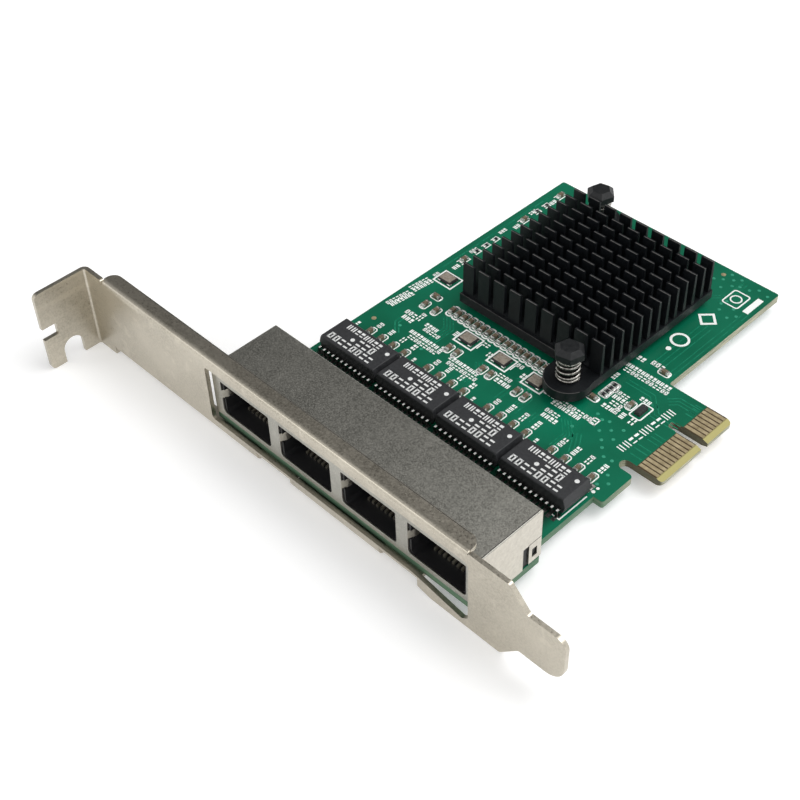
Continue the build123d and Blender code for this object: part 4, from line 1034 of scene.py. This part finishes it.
# %% Traces on the lower side
UNDER = (
    ([(44, 18), (44, 30), (52, 38), (52, 60)], 6, 0.6, 0.22),
    ([(60, 18), (60, 34), (58, 36), (58, 62)], 6, 0.6, 0.22),
    ([(76, 18), (76, 34), (68, 42), (68, 62)], 6, 0.6, 0.22),
    ([(92, 18), (92, 30), (78, 44), (78, 60)], 6, 0.6, 0.22),
    ([(99.4, 60.9), (88, 60.9), (80, 68.9), (72, 68.9)], 4, 1, 0.25),
    ([(99.4, 50.5), (90, 50.5), (84, 56.5), (74, 56.5)], 6, 1, 0.25),
    ([(40, 60), (40, 92), (50, 94), (80, 94)], 3, 0.9, 0.25),
)
below = []
for path in UNDER:
    for points, faces in bundle(*path):
        height = TOP - points[:, 2:]
        below.append((np.c_[points[:, :2], BOTTOM + height], faces[:, ::-1]))
put("copper_traces_under", joined(below), copper_mask)

# %% [markdown]
# ## Fine lines of the bent sheets
# The bracket's upper fold ends in a sheared edge, and the dark strip along it is partly that
# edge and partly painted shade. A dark line also runs along the fold between the shield's top
# and its end, and another above the flag, where the sheet was cut free. Hair-thin strips show
# them.

# %% Sheared edge with painted shade, fold and cut
FOLD_REACH, FOLD_START, FOLD_END = 3.4, 14, 97.6
BRACKET_TOP = bracket_high[2] / MM - ORIGIN[2]
SHIELD_RIGHT, SHIELD_TOP, FLAG_TOP = 101, 6.35, -0.05
# Painted shade: a dark strip on the rear edge of the bracket's fold.
edge = ((FOLD_START + FOLD_END) / 2, FOLD_REACH - 0.14, FOLD_END - FOLD_START, 0.12, 0)
fold_edge = bars(edge, BRACKET_TOP - 0.06, BRACKET_TOP + 0.004)
put("painted_fold_shade", fold_edge, seam_and_shade_line)
seam = bars((SHIELD_RIGHT - 0.28, 8.9, 0.16, 15, 0), SHIELD_TOP - 0.05, SHIELD_TOP + 0.006)
put("shield_fold_line", seam, seam_and_shade_line)
flag_line = bars((SHIELD_RIGHT, 15, 0.02, 3.1, 0), FLAG_TOP, FLAG_TOP + 0.13)
put("flag_cut_line", flag_line, seam_and_shade_line)

# %% [markdown]
# ## Floor, light and camera
# The card lies on a plain white floor. The light is soft, from a bright room with one darker
# side, because bare steel only shows its shape when it mirrors something darker than white.
# The floor glows a little for the camera and for mirrors, so that it reads as white, while
# the card's shadow still shows on it; far from the card it glows more, where the lamps
# don't reach.

# %% Floor
GLOW, FAR_GLOW = 0.26, 0.75
GLOW_FROM, GLOW_TO = 0.09, 1.4
FLOOR_HALF, FLOOR_DROP = 4, 0.00005
floor_white = finish("floor_white", (0.86, 0.86, 0.86), 0.9, Emission_Color=(1, 1, 1))
rays = node_of(floor_white, "LightPath").outputs
seen = combine(floor_white, "ADD", rays["Is Camera Ray"], rays["Is Glossy Ray"])
seen = combine(floor_white, "ADD", seen, rays["Is Transmission Ray"])
glow = combine(floor_white, "MINIMUM", seen, 1.0)
across, ahead = along(floor_white, "X"), along(floor_white, "Y")
squares = [combine(floor_white, "MULTIPLY", way, way) for way in (across, ahead)]
far = combine(floor_white, "ADD", *squares)
strength = level(floor_white, far, GLOW, FAR_GLOW, GLOW_FROM, GLOW_TO)
to_shader(floor_white, Emission_Strength=product(floor_white, glow, strength))
floor_mesh = bpy.data.meshes.new("floor")
corners = np.array([[-1, -1, 0], [1, -1, 0], [1, 1, 0], [-1, 1, 0]]) * FLOOR_HALF
floor_mesh.from_pydata((corners - [0, 0, FLOOR_DROP]).tolist(), [], [(0, 1, 2, 3)])
floor_mesh.materials.append(floor_white)
floor = linked("floor", floor_mesh)
print("floor", 2 * FLOOR_HALF, "m wide")

# %% A room with one darker side
DARK_SIDE = (-0.52, 0.49, 0.70)
ROOM_LIGHT, DARK_LIGHT = 1.02, 0.16
world = bpy.data.worlds.new("room")
scene.world = world
world.use_nodes = True
toward_dark = node_of(world, "VectorMath")
toward_dark.operation = "DOT_PRODUCT"
fill(world, toward_dark.inputs[0], node_of(world, "TexCoord").outputs["Generated"])
fill(world, toward_dark.inputs[1], DARK_SIDE)
spread = level(world, toward_dark.outputs["Value"], ROOM_LIGHT, DARK_LIGHT, 0.1, 0.97)
spread.node.interpolation_type = "SMOOTHSTEP"
camera_ray = node_of(world, "LightPath").outputs["Is Camera Ray"]
lit = combine(world, "MAXIMUM", spread, camera_ray)
fill_all(world, world.node_tree.nodes["Background"], Color=(1, 1, 1), Strength=lit)


# %% Lamps
def lamp(name, place, size, watts):
    """Square area lamp that faces the card's middle."""
    light = bpy.data.lights.new(name, "AREA")
    light.size = size
    light.energy = watts
    holder = linked(name, light)
    holder.location = place
    holder.rotation_mode = "QUATERNION"
    holder.rotation_quaternion = Vector(place).to_track_quat("Z", "Y")


lamp("key_lamp", (0.26, 0.38, 0.82), 0.7, 5.4)
lamp("edge_lamp", (-0.50, -0.68, 0.50), 0.3, 0.45)

# %% [markdown]
# ## Camera
# The camera stands where the photograph was taken from: its angle, place and lens were solved
# from known lengths of the card. It is set once, from an azimuth, an elevation and a roll.

# %% Camera
AZIMUTH, ELEVATION, ROLL = 46.995, 44.278, 2.294
LENS_PIXELS, PHOTO_PIXELS, SENSOR = 1393.1, 800, 36
PLACE = (0.13195, -0.14180, 0.18219)
a, e, r = (math.radians(angle) for angle in (AZIMUTH, ELEVATION, ROLL))
back = Vector((math.sin(a) * math.cos(e), -math.cos(a) * math.cos(e), math.sin(e)))
level_right = (-back).cross(Vector((0, 0, 1))).normalized()
level_down = (-back).cross(level_right)
right = level_right * math.cos(r) + level_down * math.sin(r)
turned_axes = Matrix((right, back.cross(right), back)).transposed()
camera_data = bpy.data.cameras.new("camera")
camera_data.sensor_width = SENSOR
camera_data.lens = SENSOR * LENS_PIXELS / PHOTO_PIXELS
camera_data.clip_start = 0.01
camera = linked("camera", camera_data)
camera.matrix_world = Matrix.Translation(PLACE) @ turned_axes.to_4x4()
scene.camera = camera
scene.view_settings.view_transform = "Standard"
print("lens", round(camera_data.lens, 2), "mm")
